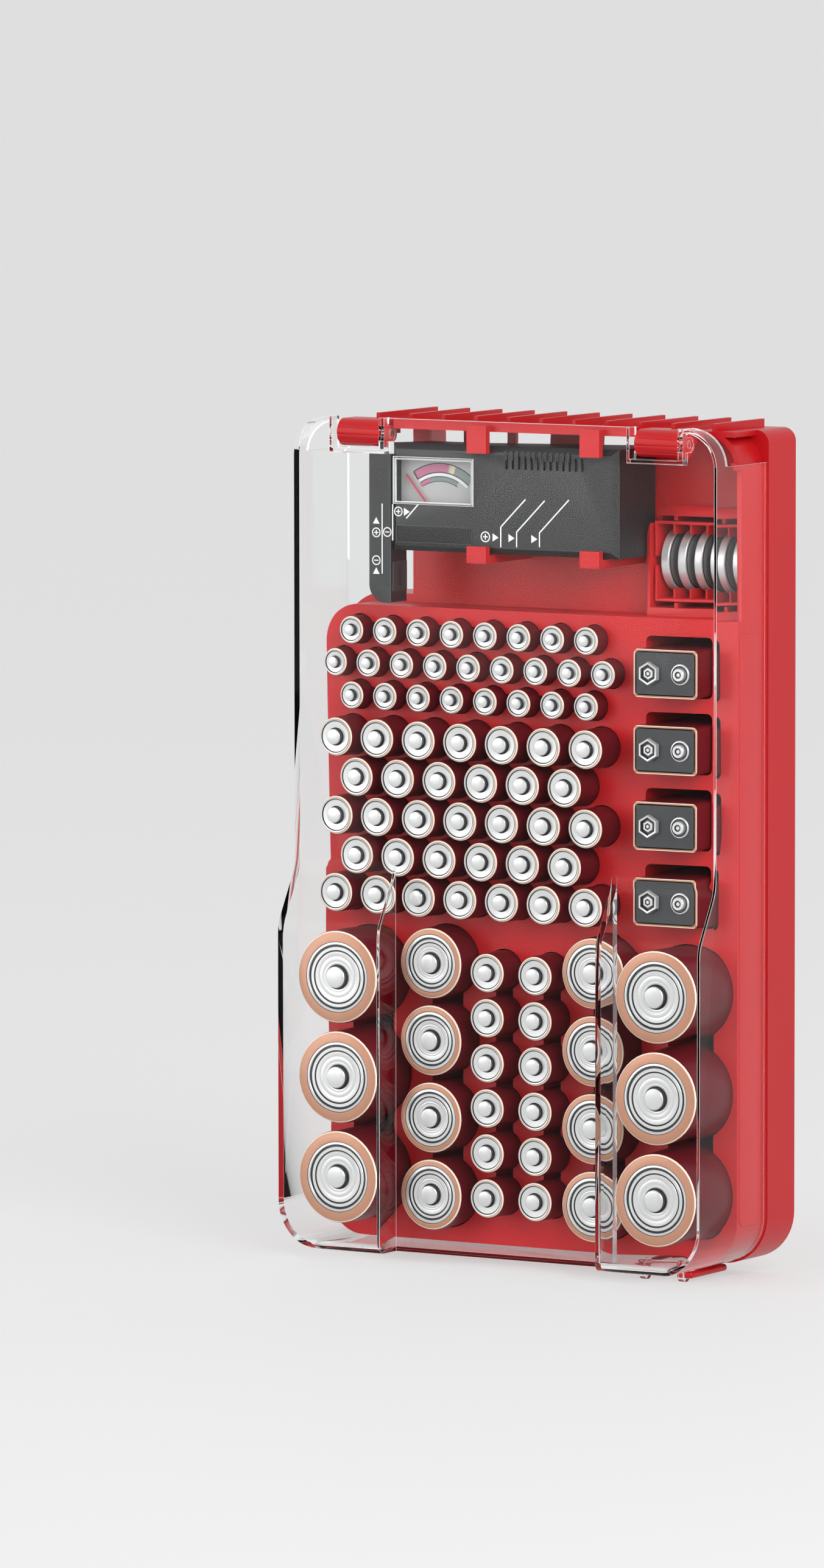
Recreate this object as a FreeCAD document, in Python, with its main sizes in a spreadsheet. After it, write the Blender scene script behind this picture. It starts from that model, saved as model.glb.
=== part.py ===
import FreeCAD, Part
import math
import os
import re
import Sketcher
from types import SimpleNamespace
from FreeCAD import Placement, Rotation, Vector

# Battery storage case: a moulded tray that hangs on a wall, filled with cells, with a clear
# lift-up cover, a wire-bail latch, a coin-cell drawer and a pointer-type battery tester.
#
# Millimetres.  X is to the right, depth is measured out from the wall (depth = -Y) and
# height up from the lower edge of the tray.  Every finished piece is then lowered by
# screw_level, so that the origin lies at the middle of the two wall screws, on the wall.

os.makedirs("parts", exist_ok=True)
doc = FreeCAD.newDocument("battery_storage_case")
sheet = doc.addObject("Spreadsheet::Sheet", "Sizes")

SIZES = {
    # tray shell
    "tray_wall": 2.0, "deck_front": 38.5, "floor_front": 20.0, "rim_front": 36.0,
    "band_depth": 20.0, "band_proud": 3.0, "band_corner": 5.0, "corner_low": 15.0,
    "corner_high": 13.5,
    "corner_deck": 14.0, "shelf_left": 57.0, "pocket_floor": 2.5,
    "cup_wall": 1.5, "pocket_gap": 0.4, "finger_slot": 0.5, "deck_edge": 3.75,
    # round cells: diameter, length over the button, and the gaps between neighbours
    "aaa_dia": 10.5, "aaa_long": 44.5, "aaa_gap": 3.7, "aaa_cross_gap": 3.44, "aaa_side": 0.75,
    "aa_dia": 14.5, "aa_long": 50.5, "aa_gap": 3.15, "aa_cross_gap": 2.39, "aa_column_gap": 5.7,
    "aa_stack_gap": 2.05, "aa_foot": 11.45, "aaa_over_aa": 2.4, "aa_over_c": 3.45,
    "aa_over_d": 5.0,
    "c_dia": 26.2, "c_long": 50.0, "c_stack_gap": 2.2, "c_side_gap": 3.75, "c_foot": 5.4,
    "d_dia": 34.2, "d_long": 61.5, "d_stack_gap": 2.7, "d_side_gap": 2.8, "d_foot": 7.1,
    "d_edge": 0.2,
    # nine-volt cells
    "nine_wide": 26.5, "nine_thick": 17.5, "nine_case": 45.6, "nine_top": 0.9, "nine_round": 2.2,
    "snap_high": 2.0, "snap_half": 6.35, "snap_dia": 5.7, "hex_dia": 8.6, "nine_side": 7.75,
    "nine_gap": 10.2, "nine_over_c": 5.15, "nine_over_d": 5.0, "nine_pocket_gap": 0.8,
    "nine_finger": 4.0,
    # what every round cell shares
    "shoulder_high": 1.6, "button_aa": 5.5, "button_aaa": 3.8, "button_c": 7.6, "button_d": 9.6,
    "button_high": 1.4, "seal_wide": 0.7, "cap_thick": 0.5, "base_thick": 0.5,
    # clear cover
    "cover_wall": 1.6, "cover_gap": 0.8, "cover_seam": 0.3, "tip_gap": 2.4, "deep_tip_gap": 3.2,
    "bulge_side": 2.9, "bulge_over_d": 1.9, "bulge_slope": 20.0, "bulge_bend": 14.0,
    "cover_round": 3.0, "cover_rise": 6.0,
    # hinge
    "barrel_dia": 10.0, "barrel_wide": 19.3, "barrel_centre": 62.65, "barrel_gap": 1.4,
    "hinge_drop": 4.0, "hinge_pin": 2.7, "pin_fit": 0.08, "ear_gap": 0.35, "ear_wall": 1.6,
    "ear_reach": 2.8, "flute": 1.0, "hinge_bar": 1.5, "bar_drop": 5.6,
    # top of the tray
    "top_gap": 5.0, "rail_deep": 3.0, "rail_high": 1.3, "rib_wall": 1.6, "rib_pitch": 13.8,
    "rib_high": 2.8, "rib_front": 41.5, "vent_wide": 14.9, "vent_high": 8.5,
    "vent_one": -53.3, "vent_two": -34.7, "vent_three": -16.4, "vent_four": 20.3,
    # tester and its clips
    "tester_left": 61.0, "tester_long": 104.8, "tester_tall": 39.6, "tester_deep": 28.0,
    "tester_foot": 21.4, "tester_pad": 2.0, "pad_foot": 6.0, "pad_drop": 12.0,
    "tester_wall": 1.8, "tester_bevel": 2.2,
    "clip_wide": 8.2, "clip_wall": 2.7, "clip_lap": 2.8, "clip_left": -13.4, "clip_right": 34.1,
    "window_left": 10.9, "window_wide": 33.6, "window_high": 17.0, "window_drop": 5.3,
    "window_pane": 1.6, "pane_set": 0.5, "dial_set": 5.6, "dial_thick": 0.8,
    "needle_long": 21.6, "needle_wide": 0.6, "needle_turn": 40.0, "needle_low": 6.3,
    "spindle_dia": 1.2, "spindle_fit": 0.06, "magnet_dia": 15.0, "magnet_hole": 9.0,
    "magnet_thick": 5.8,
    "coil_side": 5.6, "groove_count": 13, "groove_pitch": 2.65, "groove_wide": 1.1,
    "groove_tall": 4.8, "groove_deep": 0.8, "groove_left": 58.2, "groove_drop": 3.6,
    "leg_wide": 9.3, "leg_deep": 11.5, "leg_set": 2.0, "leg_gap": 0.5, "leg_drop": 4.2,
    "leg_round": 6.5, "tongue_long": 42.0, "panel_left": 12.1, "panel_wide": 32.0,
    "panel_foot": 1.6, "panel_tall": 7.6, "panel_deep": 0.4,
    "tongue_tall": 5.0, "tongue_deep": 12.0, "arm_gap": 0.3, "contact_thick": 0.6,
    "contact_wide": 8.0, "tester_screw": 2.6, "screw_inset": 5.5, "screw_foot": 13.5,
    "resistor_drop": 12.0, "resistor_gap": 7.0,
    # coin drawer
    "housing_wall": 1.3, "housing_front": 29.0, "housing_top": 40.0, "housing_round": 12.0,
    "drawer_side": 1.6, "drawer_gap": 0.6, "drawer_foot": 5.0, "drawer_tall": 29.4,
    "drawer_front": 27.0, "drawer_floor": 2.0, "drawer_wall": 1.2, "drawer_rib": 1.0,
    "rib_reach": 4.2, "notch_tall": 3.2, "notch_deep": 9.0, "coin_count": 5,
    "coin_dia": 23.0, "coin_thick": 3.6, "coin_cap": 20.4,
    # latch
    "latch_inset": 30.9, "lug_half": 8.0, "lug_wall": 2.4, "lug_reach": 2.7, "latch_front": 40.0,
    "latch_drop": 2.9, "bail_wire": 2.6, "bail_long": 24.0, "bail_half": 10.9, "catch_gap": 0.4,
    "catch_half": 8.4, "catch_deep": 2.0, "catch_drop": 3.6,
    # wall screws
    "screw_apart": 70.0, "screw_above": 42.0, "screw_hole": 4.5, "screw_boss": 9.0,
}

for row, (alias, number) in enumerate(SIZES.items(), start=1):
    sheet.set(f"A{row}", alias)
    sheet.set(f"B{row}", str(number))
    sheet.setAlias(f"B{row}", alias)
doc.recompute()

# Places worked out from the driving sizes, in the order in which the case is laid out.
LAYOUT = {
    # columns, from the middle outwards
    "aa_column": "(aa_dia + aa_column_gap) / 2",
    "c_column": "aa_column + (aa_dia + c_dia) / 2 + c_side_gap",
    "d_column": "c_column + (c_dia + d_dia) / 2 + d_side_gap",
    "case_half": "d_column + d_dia / 2 + d_edge + tray_wall",
    "inner_half": "case_half - tray_wall",
    # steps between neighbours
    "aaa_pitch": "aaa_dia + aaa_gap",
    "aa_pitch": "aa_dia + aa_gap",
    "aaa_row": "sqrt((aaa_dia + aaa_cross_gap)^2 - (aaa_pitch / 2)^2)",
    "aa_row": "sqrt((aa_dia + aa_cross_gap)^2 - (aa_pitch / 2)^2)",
    "aa_stack": "aa_dia + aa_stack_gap",
    "c_stack": "c_dia + c_stack_gap",
    "d_stack": "d_dia + d_stack_gap",
    "nine_stack": "nine_thick + nine_gap",
    # levels, from the lower edge upwards
    "aa_low": "aa_foot + aa_dia / 2",
    "c_low": "c_foot + c_dia / 2",
    "d_low": "d_foot + d_dia / 2",
    "c_top": "c_low + 3 * c_stack + c_dia / 2",
    "d_top": "d_low + 2 * d_stack + d_dia / 2",
    "aa_block_low": "max(c_top + aa_over_c; d_top + aa_over_d) + aa_dia / 2",
    "aaa_low": "aa_block_low + 4 * aa_row + (aa_dia + aaa_dia) / 2 + aaa_over_aa",
    "block_x": "aaa_side + aaa_dia / 2 + 4 * aaa_pitch - inner_half",
    "nine_low": "max(c_top + nine_over_c; d_top + nine_over_d) + nine_thick / 2",
    "nine_column": "inner_half - nine_side - nine_wide / 2",
    "deck_top": "aaa_low + 2 * aaa_row + aaa_dia / 2 + deck_edge",
    "tester_low": "deck_top + tester_foot",
    "tester_high": "tester_low + tester_tall",
    "case_top": "tester_high + top_gap + tray_wall",
    "screw_level": "deck_top + screw_above",
    # depths, from the wall outwards
    "shallow_inner": "pocket_floor + max(aa_long; c_long) + tip_gap",
    "shallow_front": "shallow_inner + cover_wall",
    "deep_inner": "pocket_floor + d_long + deep_tip_gap",
    "deep_front": "deep_inner + cover_wall",
    "hinge_front": "shallow_inner - barrel_gap - barrel_dia / 2",
    "hinge_level": "case_top - hinge_drop",
    "cover_inner": "case_half + cover_gap",
    "cover_half": "cover_inner + cover_wall",
    "cover_low": "-cover_gap - cover_wall",
    "cover_top": "hinge_level + cover_rise",
    "cover_back": "band_depth + cover_seam",
    "bulge_inner": "d_column - d_dia / 2 - bulge_side",
    "bulge_level": "d_top + bulge_over_d",
    "ear_swing": "sqrt(ear_reach^2 + cover_rise^2) + ear_gap",
    "band_low": "-band_proud",
    # tester
    "tester_back_depth": "floor_front + tester_pad",
    "tester_front_depth": "tester_back_depth + tester_deep",
    "tester_split": "tester_back_depth + tester_deep / 2",
    "tester_right": "tester_long - tester_left",
    "body_left": "leg_wide + arm_gap - tester_left",
    "body_wide": "tester_right - body_left",
    "leg_back": "tester_front_depth - arm_gap - leg_deep",
    "tongue_low": "tester_low + tester_wall + arm_gap",
    "clip_front": "tester_front_depth + arm_gap + clip_wall",
    "window_x": "window_left - tester_left",
    "window_low": "tester_high - window_drop - window_high",
    "pivot_x": "window_x + window_wide / 2",
    "pivot_level": "window_low - needle_low",
    "dial_front": "tester_front_depth - dial_set",
    # coin drawer
    "housing_left": "tester_right + leg_gap",
    "pocket_left": "housing_left + housing_wall",
    "pocket_right": "inner_half - drawer_side",
    "drawer_left": "pocket_left + drawer_gap",
    "drawer_wide": "pocket_right - drawer_gap - drawer_left",
    "drawer_low": "deck_top + drawer_foot",
    "drawer_back": "drawer_floor + cover_seam",
    "bay": "(drawer_wide - 2 * drawer_wall + drawer_rib) / coin_count",
    "coin_depth": "drawer_back + drawer_wall + coin_dia / 2",
    "coin_level": "drawer_low + drawer_tall / 2",
    # latch
    "latch_x": "cover_half - latch_inset",
    "latch_level": "cover_low - latch_drop",
    "bar_depth": "latch_front - bail_long",
}


def spell(words):
    """An expression with each of the names above given its owner."""
    def owner(found):
        word = found.group(0)
        if word in SIZES:
            return "Sizes." + word
        return "Layout." + word if word in LAYOUT else word
    return re.sub(r"[a-z_][a-z_0-9]*", owner, words)


layout = doc.addObject("App::VarSet", "Layout")
for name, words in LAYOUT.items():
    layout.addProperty("App::PropertyFloat", name, "Layout", "")
for name, words in LAYOUT.items():
    layout.setExpression(name, spell(words))
doc.recompute()

# The same values as plain numbers, for the pieces whose shapes are computed.
v = SimpleNamespace(**{name: float(sheet.get(name)) for name in SIZES})
for name in LAYOUT:
    setattr(v, name, getattr(layout, name))

nodes = {}


def node(label, piece):
    """Names a finished piece; the name is also its file's."""
    piece.Label = label
    nodes[label] = piece
    return piece


# ---------------------------------------------------------------- parametric pieces

def tie(piece, **bindings):
    """Binds properties of a piece to expressions."""
    for name, words in bindings.items():
        piece.setExpression(name.replace("__", "."), spell(words))


def place(piece, x, depth, level):
    tie(piece, Placement__Base__x=x, Placement__Base__y=f"-({depth})",
        Placement__Base__z=f"{level} - screw_level")


def box(name, left, wide, back, deep, low, tall):
    """A block given by its left side, its back (depth from the wall) and its underside."""
    piece = doc.addObject("Part::Box", name)
    tie(piece, Length=wide, Width=deep, Height=tall)
    place(piece, left, f"{back} + {deep}", low)
    return piece


def rod(name, radius, long, x, depth, level, along):
    """A cylinder that starts at a point and runs along X, out from the wall, or back to it."""
    turn = {"x": (Vector(0, 1, 0), 90), "out": (Vector(1, 0, 0), 90)}[along]
    piece = doc.addObject("Part::Cylinder", name)
    piece.Placement = Placement(Vector(), Rotation(*turn))
    tie(piece, Radius=radius, Height=long)
    place(piece, x, depth, level)
    return piece


def fuse(name, pieces):
    whole = doc.addObject("Part::MultiFuse", name)
    whole.Shapes = pieces
    whole.Refine = True
    return whole


def cut(name, base, tools):
    tool = tools[0] if len(tools) == 1 else fuse(name + "_tools", tools)
    rest = doc.addObject("Part::Cut", name)
    rest.Base = base
    rest.Tool = tool
    rest.Refine = True
    return rest


def turned(name, corners):
    """A body of revolution about its own Z axis; corners are (radius, height) expressions."""
    body = doc.addObject("PartDesign::Body", name)
    origin = {item.Role: item for item in body.Origin.OriginFeatures}
    sketch = body.newObject("Sketcher::SketchObject", name + "_profile")
    sketch.AttachmentSupport = [(origin["XZ_Plane"], "")]
    sketch.MapMode = "FlatFace"
    measures = doc.addObject("App::VarSet", name + "_sizes")
    for index, pair in enumerate(corners):
        for letter, words in zip("rh", pair):
            measures.addProperty("App::PropertyFloat", f"{letter}{index}", "Profile", "")
            measures.setExpression(f"{letter}{index}", spell(words))
    doc.recompute()
    points = [Vector(getattr(measures, f"r{i}"), getattr(measures, f"h{i}"), 0)
              for i in range(len(corners))]
    count = len(points)
    for i in range(count):
        sketch.addGeometry(Part.LineSegment(points[i], points[(i + 1) % count]), False)
    for i in range(count):
        sketch.addConstraint(Sketcher.Constraint("Coincident", i, 2, (i + 1) % count, 1))
    for i, point in enumerate(points):
        for kind, axis, letter, size in (("DistanceX", -2, "r", point.x),
                                         ("DistanceY", -1, "h", point.y)):
            if size < 1e-6:
                sketch.addConstraint(Sketcher.Constraint("PointOnObject", i, 1, axis))
            else:
                number = sketch.addConstraint(Sketcher.Constraint(kind, -1, 1, i, 1, size))
                sketch.setExpression(f"Constraints[{number}]", f"{name}_sizes.{letter}{i}")
    spin = body.newObject("PartDesign::Revolution", name + "_turned")
    spin.Profile = sketch
    spin.ReferenceAxis = (sketch, ["V_Axis"])
    spin.Angle = 360
    doc.recompute()
    return body


def group(label, master, spots, turn=Rotation(Vector(1, 0, 0), 90)):
    """Copies of one solid at (x, depth, level) spots, as one node of separate solids."""
    copies = []
    for x, depth, level in spots:
        copy = master.Shape.copy()
        copy.Placement = Placement(Vector(x, -depth, level), turn)
        copies.append(copy)
    piece = doc.addObject("Part::Feature", label)
    piece.Shape = Part.makeCompound(copies)
    piece.Placement = Placement(Vector(0, 0, -v.screw_level), Rotation())
    return node(label, piece)


# ---------------------------------------------------------------- computed shapes

def outline(corners):
    """A flat face in the XZ plane; corners are (x, z, radius), in order round the face."""
    count = len(corners)
    stretches = []
    for i, (x, z, radius) in enumerate(corners):
        here = Vector(x, 0, z)
        before = Vector(corners[i - 1][0], 0, corners[i - 1][1]) - here
        after = Vector(corners[(i + 1) % count][0], 0, corners[(i + 1) % count][1]) - here
        if radius <= 0:
            stretches.append((here, None, here))
            continue
        before.normalize()
        after.normalize()
        half = before.getAngle(after) / 2
        reach = radius / math.tan(half)
        middle = before + after
        middle.normalize()
        nearest = here + middle * (radius / math.sin(half) - radius)
        stretches.append((here + before * reach, nearest, here + after * reach))
    edges = []
    for i, (start, nearest, end) in enumerate(stretches):
        if nearest is not None:
            edges.append(Part.Arc(start, nearest, end).toShape())
        edges.append(Part.LineSegment(end, stretches[(i + 1) % count][0]).toShape())
    return Part.Face(Part.Wire(edges))


def slab(flat, back, front):
    """Flat faces drawn at the wall, given thickness between two depths."""
    solids = []
    for face in flat.Faces:
        moved = face.copy()
        moved.translate(Vector(0, -back, 0))
        solids.append(moved.extrude(Vector(0, back - front, 0)))
    return solids[0] if len(solids) == 1 else Part.makeCompound(solids)


def block(left, right, back, front, low, high):
    return Part.makeBox(right - left, front - back, high - low, Vector(left, -front, low))


def post(x, level, radius, back, front):
    return Part.makeCylinder(radius, front - back, Vector(x, -back, level), Vector(0, -1, 0))


def axle(x, long, depth, level, radius):
    return Part.makeCylinder(radius, long, Vector(x, -depth, level), Vector(1, 0, 0))


def rounded_box(left, right, low, high, radius):
    return outline([(left, low, radius), (right, low, radius), (right, high, radius),
                    (left, high, radius)])


def merged(faces):
    return Part.makeShell(faces[0].fuse(faces[1:]).Faces).removeSplitter()


def computed(label, shape):
    piece = doc.addObject("Part::Feature", label)
    piece.Shape = shape.removeSplitter()
    piece.Placement = Placement(Vector(0, 0, -v.screw_level), Rotation())
    return node(label, piece)


# ---------------------------------------------------------------- where the cells stand

def staggered(counts, pitch, row, low):
    """Rows of cells, from the lowest row up, each centred on the block."""
    return [[(v.block_x + (i - (count - 1) / 2) * pitch, low + level * row)
             for i in range(count)] for level, count in enumerate(counts)]


def stack(x, low, step, count):
    return [(x, low + i * step) for i in range(count)]


AAA_ROWS = staggered((8, 9, 8), v.aaa_pitch, v.aaa_row, v.aaa_low)
AA_ROWS = staggered((7, 6, 7, 6, 7), v.aa_pitch, v.aa_row, v.aa_block_low)
AA_ROWS += [stack(side * v.aa_column, v.aa_low, v.aa_stack, 6) for side in (-1, 1)]
C_ROWS = [stack(side * v.c_column, v.c_low, v.c_stack, 4) for side in (-1, 1)]
D_ROWS = [stack(side * v.d_column, v.d_low, v.d_stack, 3) for side in (-1, 1)]
NINE_SPOTS = stack(v.nine_column, v.nine_low, v.nine_stack, 4)


def slot(start, end, half):
    """A straight slot between two cell centres, at an upright or a level run."""
    (x0, z0), (x1, z1) = start, end
    if abs(x1 - x0) > abs(z1 - z0):
        return rounded_box(x0, x1, z0 - half, z0 + half, 0)
    return rounded_box(x0 - half, x0 + half, z0, z1, 0)


def pocket_faces(grow):
    """Round pockets joined row by row by finger slots, and the square ones, grown by a wall."""
    faces = []
    for rows, dia in ((AAA_ROWS, v.aaa_dia), (AA_ROWS, v.aa_dia), (C_ROWS, v.c_dia),
                      (D_ROWS, v.d_dia)):
        radius = dia / 2 + v.pocket_gap + grow
        half = dia * v.finger_slot / 2 + grow
        for row in rows:
            faces += [Part.Face(Part.Wire(Part.makeCircle(radius, Vector(x, 0, z),
                                                          Vector(0, -1, 0)))) for x, z in row]
            faces += [slot(row[i], row[i + 1], half) for i in range(len(row) - 1)]
    wide = v.nine_wide / 2 + v.nine_pocket_gap + grow
    tall = v.nine_thick / 2 + v.nine_pocket_gap + grow
    top = tall + v.nine_finger - v.nine_pocket_gap
    faces += [rounded_box(x - wide, x + wide, z - tall, z + top, v.nine_round + grow)
              for x, z in NINE_SPOTS]
    return merged(faces)


# ---------------------------------------------------------------- tray

def case_outline(grow, top_grow=None, corner=None):
    """The tray from the front: a full-width deck below, and a shelf open at its left above."""
    top = v.case_top + (grow if top_grow is None else top_grow)
    corner = v.corner_high + grow if corner is None else corner
    half = v.case_half + grow
    low = v.corner_low + grow
    return outline([
        (-half, -grow, low), (half, -grow, low), (half, top, corner),
        (-v.shelf_left - grow, top, 0), (-v.shelf_left - grow, v.deck_top + grow, 0),
        (-half, v.deck_top + grow, v.corner_deck + grow)])


def deck_region(low, high):
    return rounded_box(-2 * v.case_half, 2 * v.case_half, low, high, 0)


def hinge_pieces():
    """Two fluted barrels on arms, with a pin at each end, and the rail between them."""
    solids = []
    radius = v.barrel_dia / 2
    arm_top = v.hinge_level + radius
    for side in (-1, 1):
        left = side * v.barrel_centre - v.barrel_wide / 2
        right = left + v.barrel_wide
        barrel = axle(left, v.barrel_wide, v.hinge_front, v.hinge_level, radius)
        flutes = [axle(left - 1, v.barrel_wide + 2,
                       v.hinge_front + (radius + v.flute / 4) * math.cos(math.radians(turn)),
                       v.hinge_level + (radius + v.flute / 4) * math.sin(math.radians(turn)),
                       v.flute / 2) for turn in range(-150, 60, 35)]
        arm = block(left, right, v.rib_front - 1, v.hinge_front, v.hinge_level, arm_top)
        pins = axle(left - v.ear_gap - v.ear_wall + 0.1,
                    v.barrel_wide + 2 * (v.ear_gap + v.ear_wall - 0.1),
                    v.hinge_front, v.hinge_level, v.hinge_pin / 2)
        relief = block(-v.tester_left - v.arm_gap, v.tester_right, v.rib_front,
                       v.tester_front_depth + v.arm_gap, v.tester_low, v.tester_high + v.arm_gap)
        solids += [barrel.cut(flutes + [relief]), arm, pins]
    reach = v.barrel_centre - v.barrel_wide / 2 - 2 * v.ear_gap - v.ear_wall
    solids.append(block(-reach, reach, v.hinge_front + 0.5 - v.rail_deep, v.hinge_front + 0.5,
                        v.case_top - v.tray_wall, v.case_top + v.rail_high))
    return solids


def ear_slots():
    """Room in the edge of the top wall for the cover's ears, which turn about the pins."""
    gap = v.ear_gap
    spans = []
    for side in (-1, 1):
        for end in (-1, 1):
            inner = v.barrel_centre + end * (v.barrel_wide / 2 + gap / 3)
            outer = inner + end * (v.ear_wall + 2 * gap)
            spans.append(sorted((side * inner, side * outer)))
    back = v.hinge_front - v.ear_swing
    return [block(left, right, back, v.shallow_front, v.hinge_level - 5, v.case_top + 5)
            for left, right in spans]


def tester_clips():
    """Two hooks over the tester's upper edge and two over its lower edge."""
    solids = []
    back = v.tester_front_depth + v.arm_gap
    for x in (v.clip_left, v.clip_right):
        left, right = x - v.clip_wide / 2, x + v.clip_wide / 2
        top = v.case_top + 0.2
        solids.append(block(left, right, v.hinge_front, v.clip_front,
                            v.case_top - v.tray_wall, top))
        solids.append(block(left, right, back, v.clip_front, v.tester_high - v.clip_lap, top))
        foot = v.tester_low - v.arm_gap - 3
        solids.append(block(left, right, v.floor_front - 1, v.clip_front, foot,
                            v.tester_low - v.arm_gap))
        solids.append(block(left, right, back, v.clip_front, foot, v.tester_low + v.clip_lap))
    return solids


def drawer_housing():
    """The raised frame round the coin drawer, and the deep pocket that it slides in."""
    low, high = v.deck_top, v.deck_top + v.housing_top
    frame = outline([(v.housing_left, low, 0), (v.inner_half, low, 0), (v.inner_half, high, 0),
                     (v.housing_left, high, v.housing_round)])
    wall = v.cup_wall
    pocket_low = v.drawer_low - v.drawer_gap - wall
    pocket_high = v.drawer_low + v.drawer_tall + v.drawer_gap + wall
    well = block(v.pocket_left - wall + 0.3, v.pocket_right + wall, v.drawer_floor - wall,
                 v.floor_front, pocket_low - wall, pocket_high + wall)
    solid = slab(frame, v.floor_front - v.tray_wall, v.housing_front).fuse(well)
    hollow = block(v.pocket_left, v.pocket_right, v.drawer_floor, v.housing_front + 1,
                   pocket_low, pocket_high)
    guides = [block(x - wall / 2, x + wall / 2, v.drawer_floor, v.housing_front - 2, low, high)
              for x in (v.drawer_left + v.drawer_wide * share for share in (0.25, 0.75))
              for low, high in ((pocket_low - 0.2, v.drawer_low - v.arm_gap),
                                (v.drawer_low + v.drawer_tall + v.arm_gap, pocket_high + 0.2))]
    return solid, hollow, guides


def tray_shape():
    top = v.case_top
    wall = v.tray_wall
    outer = case_outline(0)
    pockets = pocket_faces(0)
    cups = pocket_faces(v.cup_wall)
    walls = slab(outer.cut(case_outline(-wall)).cut(pockets), v.floor_front - wall, v.deck_front)
    rim = case_outline(v.band_proud, 0, v.band_corner)
    band = slab(rim.cut(case_outline(v.band_proud - wall, -wall, v.band_corner - wall)),
                0, v.band_depth)
    flange = slab(rim.cut(case_outline(-wall)), v.band_depth - wall, v.band_depth)
    deck = slab(outer.common(deck_region(-1, v.deck_top)).cut(pockets),
                v.deck_front - wall, v.deck_front)
    floor = slab(outer.common(deck_region(v.deck_top - wall, top + 1)),
                 v.floor_front - wall, v.floor_front)
    step = slab(outer.common(deck_region(v.deck_top - wall, v.deck_top)),
                v.floor_front - wall, v.deck_front)
    cup_walls = slab(cups.cut(pockets), v.pocket_floor, v.deck_front - wall)
    cup_floors = slab(cups, v.pocket_floor - v.cup_wall, v.pocket_floor)
    shelf = block(-v.barrel_centre - v.barrel_wide / 2, v.inner_half, 0,
                  v.hinge_front - v.rail_deep + 1, top - wall, top)
    ribs = [block(x - v.rib_wall / 2, x + v.rib_wall / 2, 0.5, v.rib_front, top - 0.5,
                  top + v.rib_high)
            for x in ((i - 4.5) * v.rib_pitch for i in range(11))]
    bosses = [post(side * v.screw_apart / 2, v.screw_level, v.screw_boss / 2, 0, v.floor_front)
              for side in (-1, 1)]
    pads = [block(-v.shelf_left + wall, v.tester_right - 3, v.floor_front, v.tester_back_depth,
                  level, level + wall)
            for level in (v.tester_low + v.pad_foot, v.tester_high - v.pad_drop)]
    catch = block(v.latch_x - v.catch_half, v.latch_x + v.catch_half,
                  v.bar_depth + v.bail_wire / 2 + v.catch_gap,
                  v.bar_depth + v.bail_wire / 2 + v.catch_gap + v.catch_deep,
                  v.band_low - v.catch_drop, v.band_low + wall)
    housing, hollow, guides = drawer_housing()

    solid = walls.fuse([band, flange, deck, floor, step, cup_walls, cup_floors, shelf, housing,
                        catch] + ribs + bosses + pads + hinge_pieces() + tester_clips())
    open_left = block(-v.shelf_left - 1, -v.shelf_left + wall + 1, v.floor_front,
                      v.deck_front + 1, v.deck_top, top - wall)
    low_rim = block(v.inner_half - 1, v.case_half + 1, v.rim_front, v.deck_front + 1,
                    v.deck_top, top - v.corner_high)
    vents = [block(x, x + v.vent_wide, v.floor_front - wall - 1, v.floor_front + 1,
                   top - wall - 1.5 - v.vent_high, top - wall - 1.5)
             for x in (v.vent_one, v.vent_two, v.vent_three, v.vent_four)]
    holes = [post(side * v.screw_apart / 2, v.screw_level, v.screw_hole / 2, -1,
                  v.tester_back_depth) for side in (-1, 1)]
    right_end = block(v.barrel_centre + v.barrel_wide / 2 + v.ear_gap, v.case_half + 1,
                      v.rim_front, v.hinge_front + 9, top - wall - 9, top + 9)
    solid = solid.cut([open_left, low_rim, right_end, hollow] + vents + holes + ear_slots())
    return solid.fuse(guides)


computed("tray", tray_shape())

# ---------------------------------------------------------------- clear cover


def cover_outline(inset):
    half, low, top = v.cover_half - inset, v.cover_low + inset, v.cover_top - inset
    soft = v.corner_low + v.cover_gap + v.cover_wall - inset
    high = v.corner_high + v.cover_gap - inset
    return outline([(-half, low, soft), (half, low, soft), (half, top, high),
                    (-half, top, high)])


def bulge(side, inset):
    """The deep part over a column of D cells: a level face that slopes down to the panel."""
    low, front = v.cover_low + inset, v.deep_front - inset
    level, slope = v.bulge_level - inset / 2, v.bulge_slope
    panel = v.shallow_front - inset
    profile = outline([(low, v.cover_back, 0), (low, front, v.cover_round - inset / 2),
                       (level, front, v.bulge_bend - inset),
                       (level + slope, panel, v.bulge_bend + inset),
                       (level + 2 * slope, panel, 0), (level + 2 * slope, v.cover_back, 0)])
    near = v.bulge_inner - v.cover_wall + inset
    far = v.cover_half - inset
    # the profile is drawn with its first coordinate as height and its second as depth
    turn = FreeCAD.Matrix(0, -1, 0, side * near, 0, 0, -1, 0, 1, 0, 0, 0, 0, 0, 0, 1)
    profile.Placement = FreeCAD.Placement(turn)
    solid = profile.extrude(Vector(side * (far - near), 0, 0))
    return solid.common(slab(cover_outline(inset), 0, v.deep_front + 1))


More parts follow.
